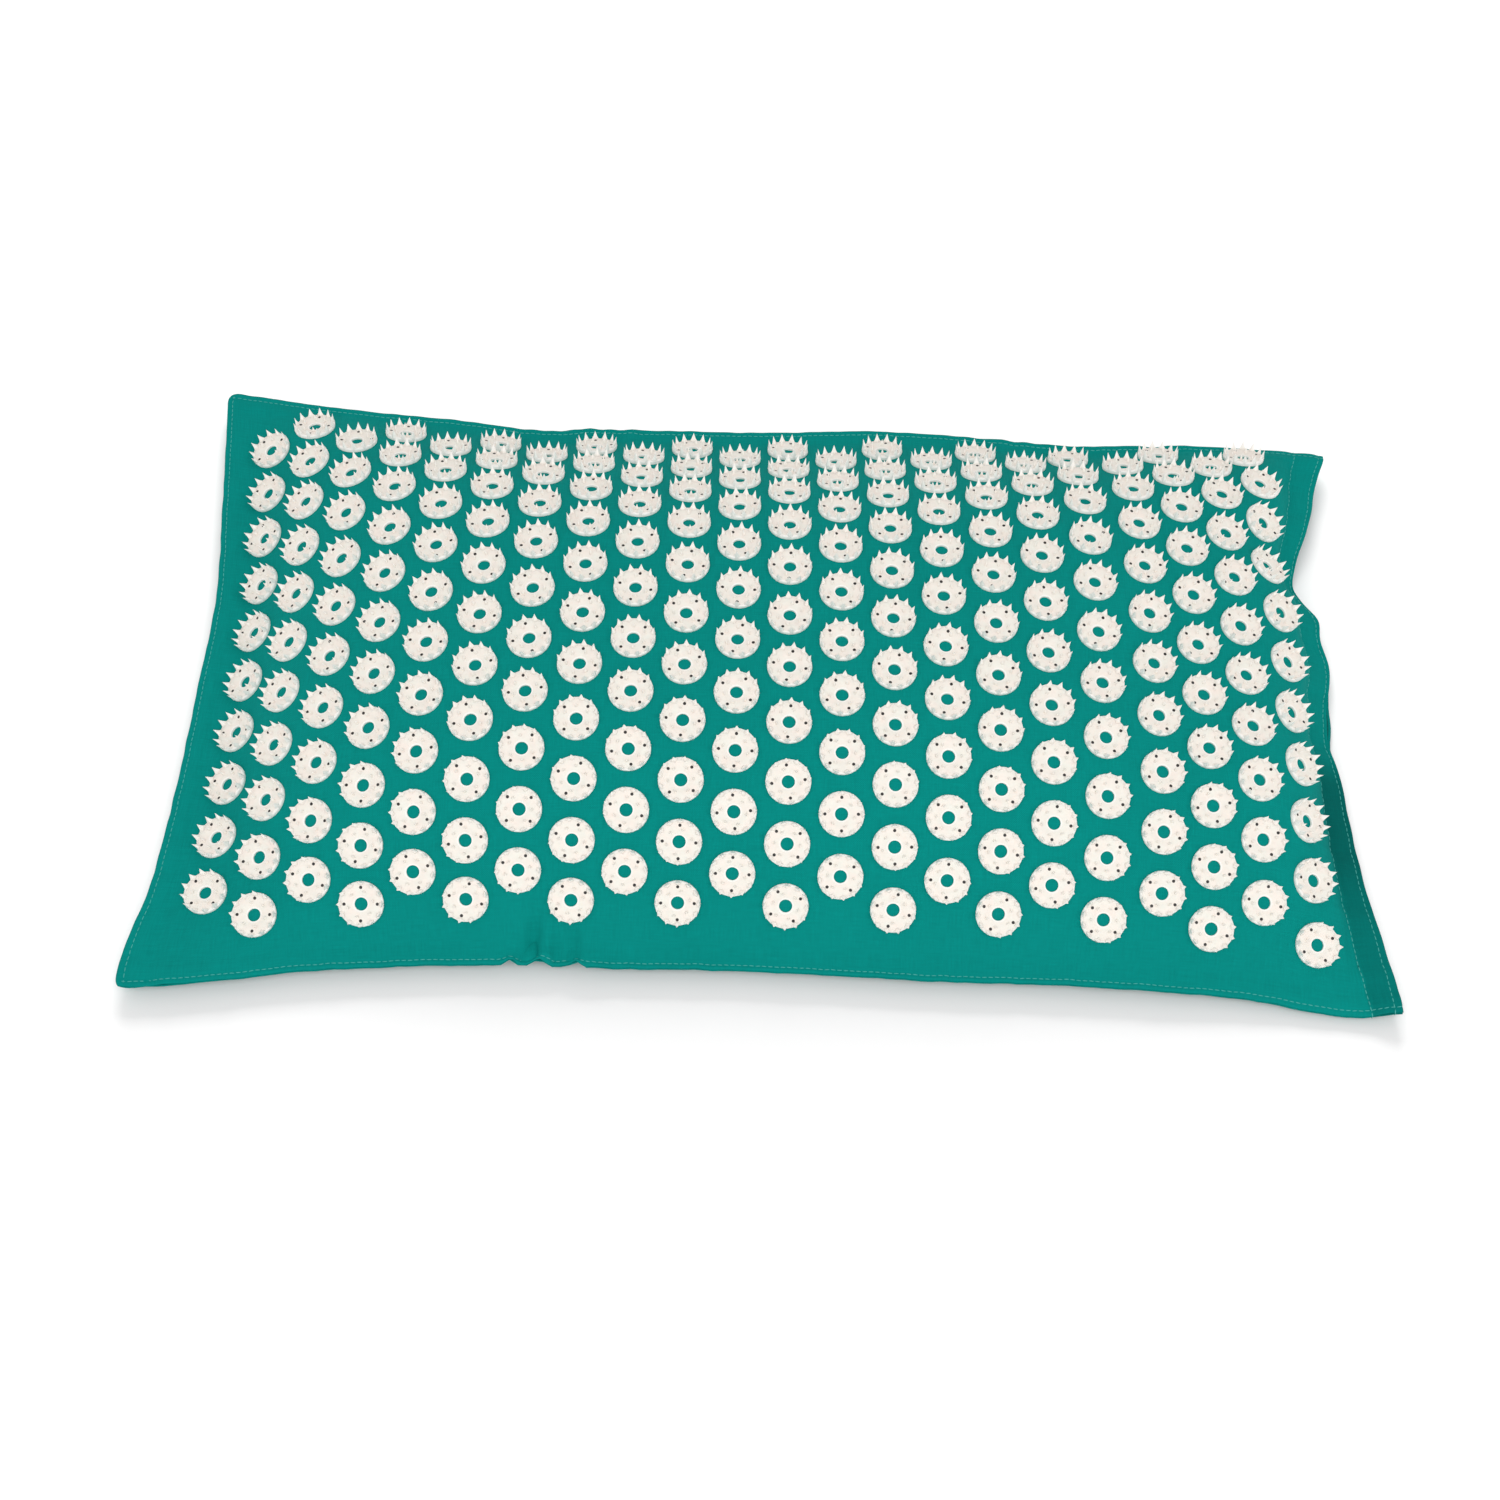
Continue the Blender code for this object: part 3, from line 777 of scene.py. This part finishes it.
def finish_piece(piece, slot, *nodes):
    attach(piece, BODY)
    if nodes:
        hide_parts(*nodes)
    return piece


def new_tree(name, **inputs):
    """A tree of geometry nodes, and its inputs by their names."""
    tree = bpy.data.node_groups.new(name, "GeometryNodeTree")
    tree.interface.new_socket("Geometry", in_out="OUTPUT", socket_type="NodeSocketGeometry")
    for label, kind in {"Geometry": "Geometry", **inputs}.items():
        tree.interface.new_socket(label, in_out="INPUT", socket_type="NodeSocket" + kind)
    return tree, tree.nodes.new("NodeGroupInput").outputs


def add_node(tree, kind, settings=None, **inputs):
    """Add a node, set its properties, and set or link its inputs by name."""
    node = tree.nodes.new(kind)
    for key, value in (settings or {}).items():
        setattr(node, key, value)
    for key, value in inputs.items():
        socket = find_input(node, key)
        if isinstance(value, bpy.types.NodeSocket):
            tree.links.new(value, socket)
        else:
            socket.default_value = value
    return node


def find_input(node, key):
    """An input by its name in lower case with underscores, or by its number after an underscore."""
    if key[0] == "_":
        return node.inputs[int(key[1:])]
    for socket in node.inputs:
        if socket.enabled and socket.name.lower().replace(" ", "_") == key:
            return socket
    raise KeyError(f"{node.bl_idname} has no input {key}")


def run_tree(piece, tree, values):
    """Give the piece the tree with these inputs, and keep the result as a plain mesh."""
    modifier = piece.modifiers.new(tree.name, "NODES")
    modifier.node_group = tree
    for item in tree.interface.items_tree:
        if item.item_type == "SOCKET" and item.in_out == "INPUT" and item.name in values:
            modifier[item.identifier] = values[item.name]
    return as_plain_mesh(piece)


def keep_on_points(mesh, name, kind, field, values):
    mesh.attributes.new(name, kind, "POINT").data.foreach_set(field, np.asarray(values, np.float32).ravel())


def points_object(name, points, edges=(), **vectors):
    mesh = bpy.data.meshes.new(name)
    mesh.from_pydata([tuple(p) for p in points], list(edges), [])
    for key, values in vectors.items():
        keep_on_points(mesh, key, "FLOAT_VECTOR", "vector", values)
    return new_object(name, mesh)


def turn_onto(tree, attribute):
    """The turn that sets Z along a normal kept on the points."""
    normal = add_node(tree, "GeometryNodeInputNamedAttribute", {"data_type": "FLOAT_VECTOR"}, name=attribute)
    vector = normal.outputs["Attribute"]
    return add_node(tree, "FunctionNodeAlignRotationToVector", {"axis": "Z"}, vector=vector).outputs[0]


def random_spin(tree, **inputs):
    """A turn about Z by a random angle."""
    angle_drawn = add_node(tree, "FunctionNodeRandomValue", {"data_type": "FLOAT"}, **inputs).outputs[1]
    return add_node(tree, "FunctionNodeAxisAngleToRotation", axis=(0, 0, 1), angle=angle_drawn).outputs[0]


def set_on_points(tree, points, shape, turn, spin, material):
    """Set a shape on each point, spun and then turned, and end the tree with its mesh and material."""
    settings = {"rotation_space": "LOCAL"}
    turned = add_node(tree, "FunctionNodeRotateRotation", settings, rotation=turn, rotate_by=spin).outputs[0]
    source = add_node(tree, "GeometryNodeObjectInfo", object=shape).outputs["Geometry"]
    placed = add_node(tree, "GeometryNodeInstanceOnPoints", points=points, instance=source, rotation=turned)
    real = add_node(tree, "GeometryNodeRealizeInstances", geometry=placed.outputs[0])
    painted = add_node(tree, "GeometryNodeSetMaterial", geometry=real.outputs[0], material=material)
    tree.links.new(painted.outputs[0], tree.nodes.new("NodeGroupOutput").inputs[0])
    return tree


def disc_tree():
    """Sets a disc on each point, square to its normal and with a random turn."""
    tree, given = new_tree("discs_on_seats", Disc="Object", Seed="Int", First="Int", Plastic="Material")
    index = add_node(tree, "GeometryNodeInputIndex").outputs[0]
    number = math_node(tree, "ADD", index, given["First"])
    spin = random_spin(tree, min=0.0, max=2 * math.pi, id=number, seed=given["Seed"])
    turn = turn_onto(tree, "seat_normal")
    return set_on_points(tree, given["Geometry"], given["Disc"], turn, spin, given["Plastic"])


def stitch_tree():
    """Lays stitches end to end along a seam line, flat on the cloth."""
    tree, given = new_tree(
        "stitches_along_seam", Stitch="Object", Pitch="Float", Wander="Float", Seed="Int", Thread="Material"
    )
    line = add_node(tree, "GeometryNodeMeshToCurve", mesh=given["Geometry"]).outputs[0]
    even = add_node(tree, "GeometryNodeResampleCurve", {"mode": "LENGTH"}, curve=line, length=given["Pitch"])
    along = add_node(
        tree,
        "FunctionNodeAlignRotationToVector",
        {"axis": "X", "pivot_axis": "Z"},
        rotation=turn_onto(tree, "cloth_normal"),
        vector=add_node(tree, "GeometryNodeInputTangent").outputs[0],
    )
    least = math_node(tree, "MULTIPLY", given["Wander"], -1.0)
    spin = random_spin(tree, min=least, max=given["Wander"], seed=given["Seed"])
    return set_on_points(tree, even.outputs[0], given["Stitch"], along.outputs[0], spin, given["Thread"])


def turns_round(number):
    return [2 * math.pi * (step + 0.5) / number for step in range(number)]


def spike_disc(d):
    """One disc, on the origin with its spikes up. Its points keep their place on it for the finish."""
    radius = d.diameter / 2
    sections = [(reach * radius, height * d.plate) for reach, height in DISC_PROFILE]
    sections += [(d.hole / 2, d.hole_edge), (d.hole / 2, 0)]
    bm = bmesh.new()
    rings = []
    for reach, height in sections:
        angles = turns_round(2 * d.outer_spikes)
        rings.append([bm.verts.new((reach * math.cos(a), reach * math.sin(a), height)) for a in angles])
    for outer, inner in zip(rings, rings[1:] + rings[:1]):
        join_rings(bm, outer, inner)
    for number, places, base, tip, taper in (
        (d.outer_spikes, (OUTER_PLACE, OUTER_TIP), d.spike_base, d.height, OUTER_TAPER),
        (d.inner_spikes, (INNER_PLACE, INNER_PLACE), INNER_BASE * d.spike_base, d.inner_height, INNER_TAPER),
    ):
        for turn in turns_round(number):
            add_spike(bm, turn, [place * radius for place in places], base, SPIKE_SINK * d.plate, tip, taper)
    place = bm.verts.layers.float_vector.new("disc_place")
    for vert in bm.verts:
        vert[place] = vert.co
    for face in bm.faces:
        face.smooth = True
    bm.normal_update()
    for edge in bm.edges:
        edge.smooth = not edge.is_manifold or edge.calc_face_angle() < SHARP_EDGE
    return object_from(bm, "spike_disc")


def add_spike(bm, turn, places, base, foot, tip, taper):
    """A slender spike, drawn out to a point. Its two places are those of its foot and its tip."""
    out = Vector((math.cos(turn), math.sin(turn), 0))
    beside = Vector((-out.y, out.x, 0))
    below = None
    for share, width in taper:
        reach = places[0] + (places[1] - places[0]) * share
        middle = out * reach + Vector((0, 0, foot + (tip - foot) * share))
        half = base / 2 * width
        corners = (out * SPIKE_FLATNESS * half, beside * half, out * -SPIKE_FLATNESS * half, beside * -half)
        ring = [bm.verts.new(middle + corner) for corner in corners]
        if below:
            join_rings(bm, below, ring)
        below = ring
    point = bm.verts.new(out * places[1] + Vector((0, 0, tip)))
    for k in range(4):
        bm.faces.new((below[k], below[(k + 1) % 4], point))


def join_rings(bm, first, second):
    for k in range(len(first)):
        after = (k + 1) % len(first)
        bm.faces.new((first[k], first[after], second[after], second[k]))


def thread_stitch(t):
    """One stitch: a short strand, sunk at both ends."""
    bm = bmesh.new()
    bmesh.ops.create_uvsphere(bm, u_segments=6, v_segments=5, radius=0.5)
    turn = Matrix.Rotation(math.pi / 2, 4, "Y")
    strand = Matrix.Diagonal((t.stitch, t.thread, THREAD_FLATNESS * t.thread, 1))
    bmesh.ops.transform(bm, matrix=strand @ turn, verts=bm.verts)
    for face in bm.faces:
        face.smooth = True
    return object_from(bm, "stitch")


# Finishes


def new_finish(name, base, roughness, gloss=0.5):
    material = bpy.data.materials.new(name)
    material.use_nodes = True
    tree = material.node_tree
    surface = tree.nodes["Principled BSDF"]
    surface.inputs["Base Color"].default_value = (*base, 1)
    surface.inputs["Roughness"].default_value = roughness
    surface.inputs["Specular IOR Level"].default_value = gloss
    material.diffuse_color = (*base, 1)
    return material, tree, surface


def math_node(tree, operation, first, second=0.0):
    return add_node(tree, "ShaderNodeMath", {"operation": operation}, _0=first, _1=second).outputs[0]


def noise(tree, where, scale, detail=2.0, stretch=(1, 1, 1)):
    placed = add_node(tree, "ShaderNodeMapping", vector=where, scale=stretch).outputs[0]
    return add_node(tree, "ShaderNodeTexNoise", vector=placed, scale=scale, detail=detail).outputs["Fac"]


def vector_node(tree, operation, **inputs):
    return add_node(tree, "ShaderNodeVectorMath", {"operation": operation}, **inputs).outputs


def mix_colours(tree, share, first, second):
    """From the first colour to the second by a share."""
    return add_node(tree, "ShaderNodeMix", {"data_type": "RGBA"}, _0=share, _6=first, _7=second).outputs[2]


def shade(tree, surface, base, amount):
    """Multiply the base colour by an amount around 1."""
    scaled = vector_node(tree, "SCALE", vector=tuple(base), scale=amount)
    tree.links.new(scaled[0], surface.inputs["Base Color"])


def spread(tree, value, low, high):
    """Map a value from 0 to 1 onto low to high."""
    return add_node(tree, "ShaderNodeMapRange", value=value, to_min=low, to_max=high).outputs[0]


def ramp(tree, value, start, end):
    """0 up to the start and 1 from the end, also where the end is the lower."""
    return add_node(tree, "ShaderNodeMapRange", value=value, from_min=start, from_max=end).outputs[0]


def add_bump(tree, surface, height, distance, strength):
    bump = add_node(tree, "ShaderNodeBump", height=height, distance=distance, strength=strength)
    tree.links.new(bump.outputs[0], surface.inputs["Normal"])


def cotton_finish(name, base):
    """Plain-weave cotton: threads over and under, slubs along them, a little fading, and painted shade at the
    mouth.
    """
    material, tree, surface = new_finish(name, base, 0.9, gloss=0.06)
    where = tree.nodes.new("ShaderNodeTexCoord")
    flat = add_node(tree, "ShaderNodeSeparateXYZ", vector=where.outputs["UV"])
    over, under = (
        math_node(tree, "SINE", math_node(tree, "MULTIPLY", flat.outputs[axis], math.pi / WEAVE_PITCH))
        for axis in range(2)
    )
    weave = math_node(tree, "MULTIPLY", over, under)
    warp, weft = (
        noise(tree, where.outputs["UV"], 1.0, 3.0, stretch)
        for stretch in ((SLUB_SCALE, THREAD_SCALE, 1), (THREAD_SCALE, SLUB_SCALE, 1))
    )
    fade = noise(tree, where.outputs["Object"], FADE_SCALE, 3.0)
    # Painted shade on the mouth's band and in the tuck beside it.
    painted_shade = add_node(tree, "ShaderNodeAttribute", {"attribute_name": "pressed"}).outputs["Fac"]
    amount = 1.0
    for value, low, high in (
        (warp, 0.86, 1.14),
        (weft, 0.86, 1.14),
        (fade, 0.93, 1.07),
        (weave, 0.97, 1.03),
        (painted_shade, 1.0, 0.50),
    ):
        amount = math_node(tree, "MULTIPLY", amount, spread(tree, value, low, high))
    shade(tree, surface, base, amount)
    slubs = math_node(tree, "ADD", warp, weft)
    height = math_node(tree, "ADD", math_node(tree, "MULTIPLY", weave, 0.5), slubs)
    add_bump(tree, surface, height, 0.00009, 0.6)
    return material


def plastic_finish(name, base, edge, d):
    """Moulded plastic with faint clouds of colour, painted highlights on its edges and spikes, and four
    pinholes a disc painted as dark dots of shade.
    """
    material, tree, surface = new_finish(name, base, 0.5)
    where = tree.nodes.new("ShaderNodeTexCoord").outputs["Object"]
    cloud = noise(tree, where, 300.0)
    tint = noise(tree, where, 190.0)
    cooler = (0.97 * base[0], base[1], 0.98 * base[2], 1)
    warmer = (1.02 * base[0], 0.97 * base[1], 0.95 * base[2], 1)
    clouded = mix_colours(tree, spread(tree, tint, -0.8, 1.8), cooler, warmer)
    pale = vector_node(tree, "SCALE", vector=clouded, scale=spread(tree, cloud, 0.955, 1.045))[0]

    # The rim, the brim of the hole and the spikes are painted paler, as a highlight.
    on_disc = add_node(tree, "ShaderNodeAttribute", {"attribute_name": "disc_place"}).outputs["Vector"]
    apart = add_node(tree, "ShaderNodeSeparateXYZ", vector=on_disc).outputs
    squares = [math_node(tree, "POWER", math_node(tree, "ABSOLUTE", apart[k]), 2.0) for k in range(2)]
    reach = math_node(tree, "SQRT", math_node(tree, "ADD", *squares))
    radius = d.diameter / 2
    rim = ramp(tree, reach, *(share * radius for share in HIGHLIGHT_RIM))
    brim = ramp(tree, reach, *(d.hole / 2 + width for width in HIGHLIGHT_BRIM))
    spike = ramp(tree, apart[2], *(share * d.plate for share in HIGHLIGHT_SPIKES))
    painted_highlight = math_node(tree, "MAXIMUM", math_node(tree, "MAXIMUM", rim, brim), spike)
    paler = mix_colours(tree, painted_highlight, pale, (*edge, 1))

    # A pinhole in each quarter of the disc, painted as a dark dot of shade where the hole would be.
    folded = vector_node(tree, "ABSOLUTE", vector=on_disc)[0]
    flat = vector_node(tree, "MULTIPLY", _0=folded, _1=(1, 1, 0))[0]
    away = vector_node(tree, "DISTANCE", _0=flat, _1=(*PINHOLE_PLACE, 0))["Value"]
    pinhole_shade = ramp(tree, away, PINHOLE_RADIUS, 0.85 * PINHOLE_RADIUS)
    tree.links.new(mix_colours(tree, pinhole_shade, paler, PINHOLE_SHADE_COLOUR), surface.inputs["Base Color"])
    tree.links.new(spread(tree, cloud, 0.48, 0.60), surface.inputs["Roughness"])
    height = math_node(tree, "SUBTRACT", cloud, math_node(tree, "MULTIPLY", pinhole_shade, 4.0))
    add_bump(tree, surface, height, 0.00010, 0.3)
    # The subsurface is turned off in the painted pinholes so that their shade stays dark.
    tree.links.new(spread(tree, pinhole_shade, 0.25, 0.0), surface.inputs["Subsurface Weight"])
    surface.inputs["Subsurface Radius"].default_value = (1.0, 0.97, 0.93)
    surface.inputs["Subsurface Scale"].default_value = 0.0012
    return material


def textured_finish(name, base, roughness, gloss, texture, scale, output, tones, bump):
    """One colour, varied by a fine texture that also stands out a little."""
    material, tree, surface = new_finish(name, base, roughness, gloss)
    where = tree.nodes.new("ShaderNodeTexCoord").outputs["Object"]
    value = add_node(tree, texture, vector=where, scale=scale).outputs[output]
    shade(tree, surface, base, spread(tree, value, *tones))
    add_bump(tree, surface, value, *bump)
    return material


def thread_finish(name, base):
    """Twisted thread."""
    twist = "ShaderNodeTexNoise", 1600.0, "Fac"
    return textured_finish(name, base, 0.7, 0.2, *twist, (0.75, 1.25), (0.0001, 0.5))


def foam_finish(name, base):
    """Open-cell foam."""
    cells = "ShaderNodeTexVoronoi", 900.0, "Distance"
    return textured_finish(name, base, 0.95, 0.1, *cells, (0.72, 1.08), (0.0005, 0.7))


def tape_finish(name, base, scale):
    """Woven closure tape with a pile of loops or hooks."""
    pile = "ShaderNodeTexVoronoi", scale, "Distance"
    return textured_finish(name, base, 0.9, 0.1, *pile, (0.6, 1.2), (0.0005, 0.8))


# Operators


class PieceOperator:
    """Shared settings of the operators."""

    bl_options = {"REGISTER", "UNDO"}


def grid_lines(s, steps):
    return graded_lines(s.mat_length, *steps[0]), graded_lines(s.mat_depth, *steps[1])


def made_cloths(context):
    """The two cloths, with the discs' seats laid flat in the top one."""
    s, d = context.scene.mat_shape, context.scene.mat_discs
    top = Layer(s, top_face, 1, *grid_lines(s, TOP_STEPS), -s.upper_lip).add_relief()
    seats = disc_seats(top, d)
    top.press_flat([seat for column in seats for seat in column], d.diameter / 2, PRESS_RUN)
    bottom = Layer(s, under_face, -1, *grid_lines(s, BOTTOM_STEPS), s.lower_lip).add_relief()
    return top, bottom, seats


class MAT_OT_pad(PieceOperator, bpy.types.Operator):
    """Make the foam pad that fills the cover"""

    bl_idname = "mat.make_pad"
    bl_label = "Foam pad"

    def execute(self, context):
        s = context.scene.mat_shape
        top, bottom, _ = made_cloths(context)
        lines = [(1 - s.pad_inset / half) * marks for half, marks in zip(halves(s), grid_lines(s, PAD_STEPS))]
        u, v = np.meshgrid(*lines, indexing="ij")
        clear = s.cloth_thickness + s.pad_gap
        upper, lower = top.at(u, v, -clear)[0], bottom.at(u, v, -clear)[0]
        bm = bmesh.new()
        for points, side in ((upper, 1), (lower, -1)):
            verts = [bm.verts.new(point) for point in points.reshape(-1, 3).tolist()]
            for face in grid_faces(u.shape, side):
                bm.faces.new([verts[k] for k in face])
        rim = [edge for edge in bm.edges if edge.is_boundary]
        bmesh.ops.bridge_loops(bm, edges=rim)
        bmesh.ops.recalc_face_normals(bm, faces=bm.faces)
        pad = object_from(bm, "pad", foam_finish("foam", context.scene.mat_finishes.foam))
        pad.data.shade_smooth()
        finish_piece(pad, "foam", "foam_pad")
        return {"FINISHED"}


class MAT_OT_cover(PieceOperator, bpy.types.Operator):
    """Make the top and bottom cloths of the cover"""

    bl_idname = "mat.make_cover"
    bl_label = "Cover cloths"

    def execute(self, context):
        s = context.scene.mat_shape
        top, bottom, _ = made_cloths(context)
        cotton = cotton_finish("teal_cotton", context.scene.mat_finishes.cotton)
        cloths = ((top, "cover_top", "cover_top_panel"), (bottom, "cover_bottom", "cover_bottom_panel"))
        for cloth, name, node in cloths:
            piece = cloth.build(name, cotton, s.cloth_thickness)
            finish_piece(piece, "cover_cloth", node)
        return {"FINISHED"}


class MAT_OT_tapes(PieceOperator, bpy.types.Operator):
    """Sew the loop tape and the hook tape inside the mouth"""

    bl_idname = "mat.make_tapes"
    bl_label = "Mouth tapes"

    def execute(self, context):
        s = context.scene.mat_shape
        colours = context.scene.mat_finishes
        half_length, half_depth = halves(s)
        u_lines = 1 - np.linspace(s.tape_inset + s.tape_width, s.tape_inset, TAPE_LINES[0]) / half_length
        v_lines = np.linspace(-1, 1, TAPE_LINES[1]) * (1 - s.seam_flange / half_depth)
        upper = s.tape_thickness + 0.5 * s.fit_gap
        for slot, node, height, lip, base, scale in (
            ("loop_tape", "mouth_loop_tape", upper, -s.upper_lip, colours.loop, 1500.0),
            ("hook_tape", "mouth_hook_tape", -s.fit_gap / 2, s.lower_lip, colours.hook, 800.0),
        ):
            tape = Layer(s, lambda s, u, v: layer(s, u, v, height + 0 * u), 1, u_lines, v_lines, lip)
            piece = tape.build(slot, tape_finish(slot, base, scale), s.tape_thickness)
            finish_piece(piece, slot, node)
        return {"FINISHED"}


class MAT_OT_stitching(PieceOperator, bpy.types.Operator):
    """Sew the topstitching along the seams and the mouth"""

    bl_idname = "mat.make_stitching"
    bl_label = "Stitching"

    def execute(self, context):
        s, t = context.scene.mat_shape, context.scene.mat_stitches
        top, bottom, _ = made_cloths(context)
        thread = thread_finish("thread", context.scene.mat_finishes.thread)
        stitch = thread_stitch(t)
        tree = stitch_tree()
        values = {"Stitch": stitch, "Pitch": t.pitch, "Wander": t.wander, "Seed": t.seed, "Thread": thread}
        near_u, near_v = (1 - s.stitch_inset / half for half in halves(s))
        half_length = halves(s)[0]
        hem = 1 - HEM_INSET / half_length

        def line(start, end):
            return np.linspace(start, end, ROW_POINTS).T

        across = np.linspace(-ROW_END, ROW_END, ROW_POINTS)
        rows = [
            line((hem, -near_v), (-near_u, -near_v)),
            line((-near_u, -near_v), (-near_u, near_v)),
            line((-near_u, near_v), (hem, near_v)),
            (1 - mouth_band_inset(s, across) / half_length, across),
            line((near_u, -ROW_END), (near_u, ROW_END)),
        ]
        for cloth, name in ((top, "top_stitching"), (bottom, "bottom_stitching")):
            points, normals, edges = [], [], []
            for us, vs in rows:
                placed, facing = cloth.at(us, vs, THREAD_LIFT * t.thread)
                edges += [(len(points) + k, len(points) + k + 1) for k in range(len(us) - 1)]
                points += list(placed)
                normals += list(facing)
            seam = points_object(name, points, edges, cloth_normal=normals)
            run_tree(seam, tree, values)
            finish_piece(seam, "cover_cloth")
        bpy.data.objects.remove(stitch)
        return {"FINISHED"}


class MAT_OT_discs(PieceOperator, bpy.types.Operator):
    """Set the spike discs on the top cloth"""

    bl_idname = "mat.make_discs"
    bl_label = "Spike discs"

    def execute(self, context):
        d = context.scene.mat_discs
        _, _, seats = made_cloths(context)
        colours = context.scene.mat_finishes
        plastic = plastic_finish("ivory_plastic", colours.plastic, colours.plastic_highlight, d)
        disc = spike_disc(d)
        tree = disc_tree()
        first = 0
        for number, column in enumerate(seats, start=1):
            centres = [centre + DISC_LIFT * normal for centre, normal in column]
            normals = [normal for _, normal in column]
            piece = points_object(f"disc_column_{number:02d}", centres, seat_normal=normals)
            run_tree(piece, tree, {"Disc": disc, "Seed": d.seed, "First": first, "Plastic": plastic})
            finish_piece(piece, "disc_plastic", f"spike_disc_column_{number:02d}")
            first += len(column)
        bpy.data.objects.remove(disc)
        return {"FINISHED"}


class MAT_OT_stage(PieceOperator, bpy.types.Operator):
    """Make the floor, the lamps, the background and the camera"""

    bl_idname = "mat.make_stage"
    bl_label = "Stage"

    def execute(self, context):
        g = context.scene.mat_stage
        scene = context.scene
        scene.view_settings.view_transform = "Standard"
        bpy.ops.mesh.primitive_plane_add(size=g.floor_size, location=(0, 0, -FLOOR_DROP))
        floor = context.object
        floor.name = "floor"
        floor.data.materials.append(floor_finish())
        world = bpy.data.worlds.new("soft_room")
        scene.world = world
        world.use_nodes = True
        tree = world.node_tree
        tree.nodes.clear()
        room, seen = (
            add_node(tree, "ShaderNodeBackground", color=(1, 1, 1, 1), strength=strength).outputs[0]
            for strength in (g.ambient, 1.0)
        )
        mixed = add_node(tree, "ShaderNodeMixShader", _0=direct_rays(tree), _1=room, _2=seen)
        tree.links.new(mixed.outputs[0], tree.nodes.new("ShaderNodeOutputWorld").inputs[0])
        add_lamp("key_lamp", g.key, *KEY_LAMP)
        shadow_lamp = add_lamp("back_lamp", g.back, *BACK_LAMP)
        floor_only = bpy.data.collections.new("lit_by_back_lamp")
        floor_only.objects.link(floor)
        shadow_lamp.light_linking.receiver_collection = floor_only
        camera = bpy.data.cameras.new("camera")
        camera.lens = g.lens
        camera.sensor_width = 36
        camera.clip_end = 50
        rig = new_object("camera", camera)
        rig.matrix_world = camera_place(g)
        scene.camera = rig
        return {"FINISHED"}


def direct_rays(tree):
    """1 for what the camera sees, also in gloss and through glass."""
    path = tree.nodes.new("ShaderNodeLightPath").outputs
    either = math_node(tree, "MAXIMUM", path["Is Camera Ray"], path["Is Glossy Ray"])
    return math_node(tree, "MAXIMUM", either, path["Is Transmission Ray"])


def floor_finish():
    """A pale floor that reads white to the camera and keeps the soft shadow."""
    material, tree, surface = new_finish("pale_floor", FLOOR_TONES[0][:3], 0.95, gloss=0.0)
    tone = mix_colours(tree, direct_rays(tree), *FLOOR_TONES)
    tree.links.new(tone, surface.inputs["Base Color"])
    return material


def add_lamp(name, power, place, size, tint):
    lamp = bpy.data.lights.new(name, "AREA")
    lamp.shape = "RECTANGLE"
    lamp.size, lamp.size_y = size
    lamp.energy = power
    lamp.color = tint
    rig = new_object(name, lamp)
    rig.location = place
    rig.rotation_euler = (-Vector(place)).to_track_quat("-Z", "Y").to_euler()
    return rig


def camera_place(g):
    """The camera's place and turn, from its angles round the point that it looks at."""
    towards = Vector(
        (
            math.sin(g.azimuth) * math.cos(g.elevation),
            -math.cos(g.azimuth) * math.cos(g.elevation),
            math.sin(g.elevation),
        )
    )
    right = Vector((0, 0, 1)).cross(towards).normalized()
    up = towards.cross(right)
    rolled_right = right * math.cos(g.roll) + up * math.sin(g.roll)
    rolled_up = up * math.cos(g.roll) - right * math.sin(g.roll)
    turn = Matrix((rolled_right, rolled_up, towards)).transposed().to_4x4()
    return Matrix.Translation(Vector((g.look_x, g.look_y, 0)) + towards * g.distance) @ turn


OPERATORS = (MAT_OT_pad, MAT_OT_cover, MAT_OT_tapes, MAT_OT_stitching, MAT_OT_discs, MAT_OT_stage)


class MAT_PT_panel(bpy.types.Panel):
    """Pieces of the acupressure mat"""

    bl_idname = "MAT_PT_panel"
    bl_label = "Acupressure mat"
    bl_space_type = "VIEW_3D"
    bl_region_type = "UI"
    bl_category = "Mat"

    def draw(self, context):
        for operator in OPERATORS:
            self.layout.operator(operator.bl_idname)
        for key, group in SETTINGS.items():
            box = self.layout.box()
            box.label(text=group.__doc__)
            settings = getattr(context.scene, key)
            for name in group.__annotations__:
                box.prop(settings, name)


def register():
    for key, group in SETTINGS.items():
        bpy.utils.register_class(group)
        setattr(bpy.types.Scene, key, bpy.props.PointerProperty(type=group))
    for operator in OPERATORS:
        bpy.utils.register_class(operator)
    bpy.utils.register_class(MAT_PT_panel)


def unregister():
    bpy.utils.unregister_class(MAT_PT_panel)
    for operator in OPERATORS:
        bpy.utils.unregister_class(operator)
    for key, group in SETTINGS.items():
        delattr(bpy.types.Scene, key)
        bpy.utils.unregister_class(group)


def main():
    register()
    bpy.ops.mat.make_pad()
    bpy.ops.mat.make_cover()
    bpy.ops.mat.make_tapes()
    bpy.ops.mat.make_stitching()
    bpy.ops.mat.make_discs()
    bpy.ops.mat.make_stage()


if __name__ == "__main__":
    main()
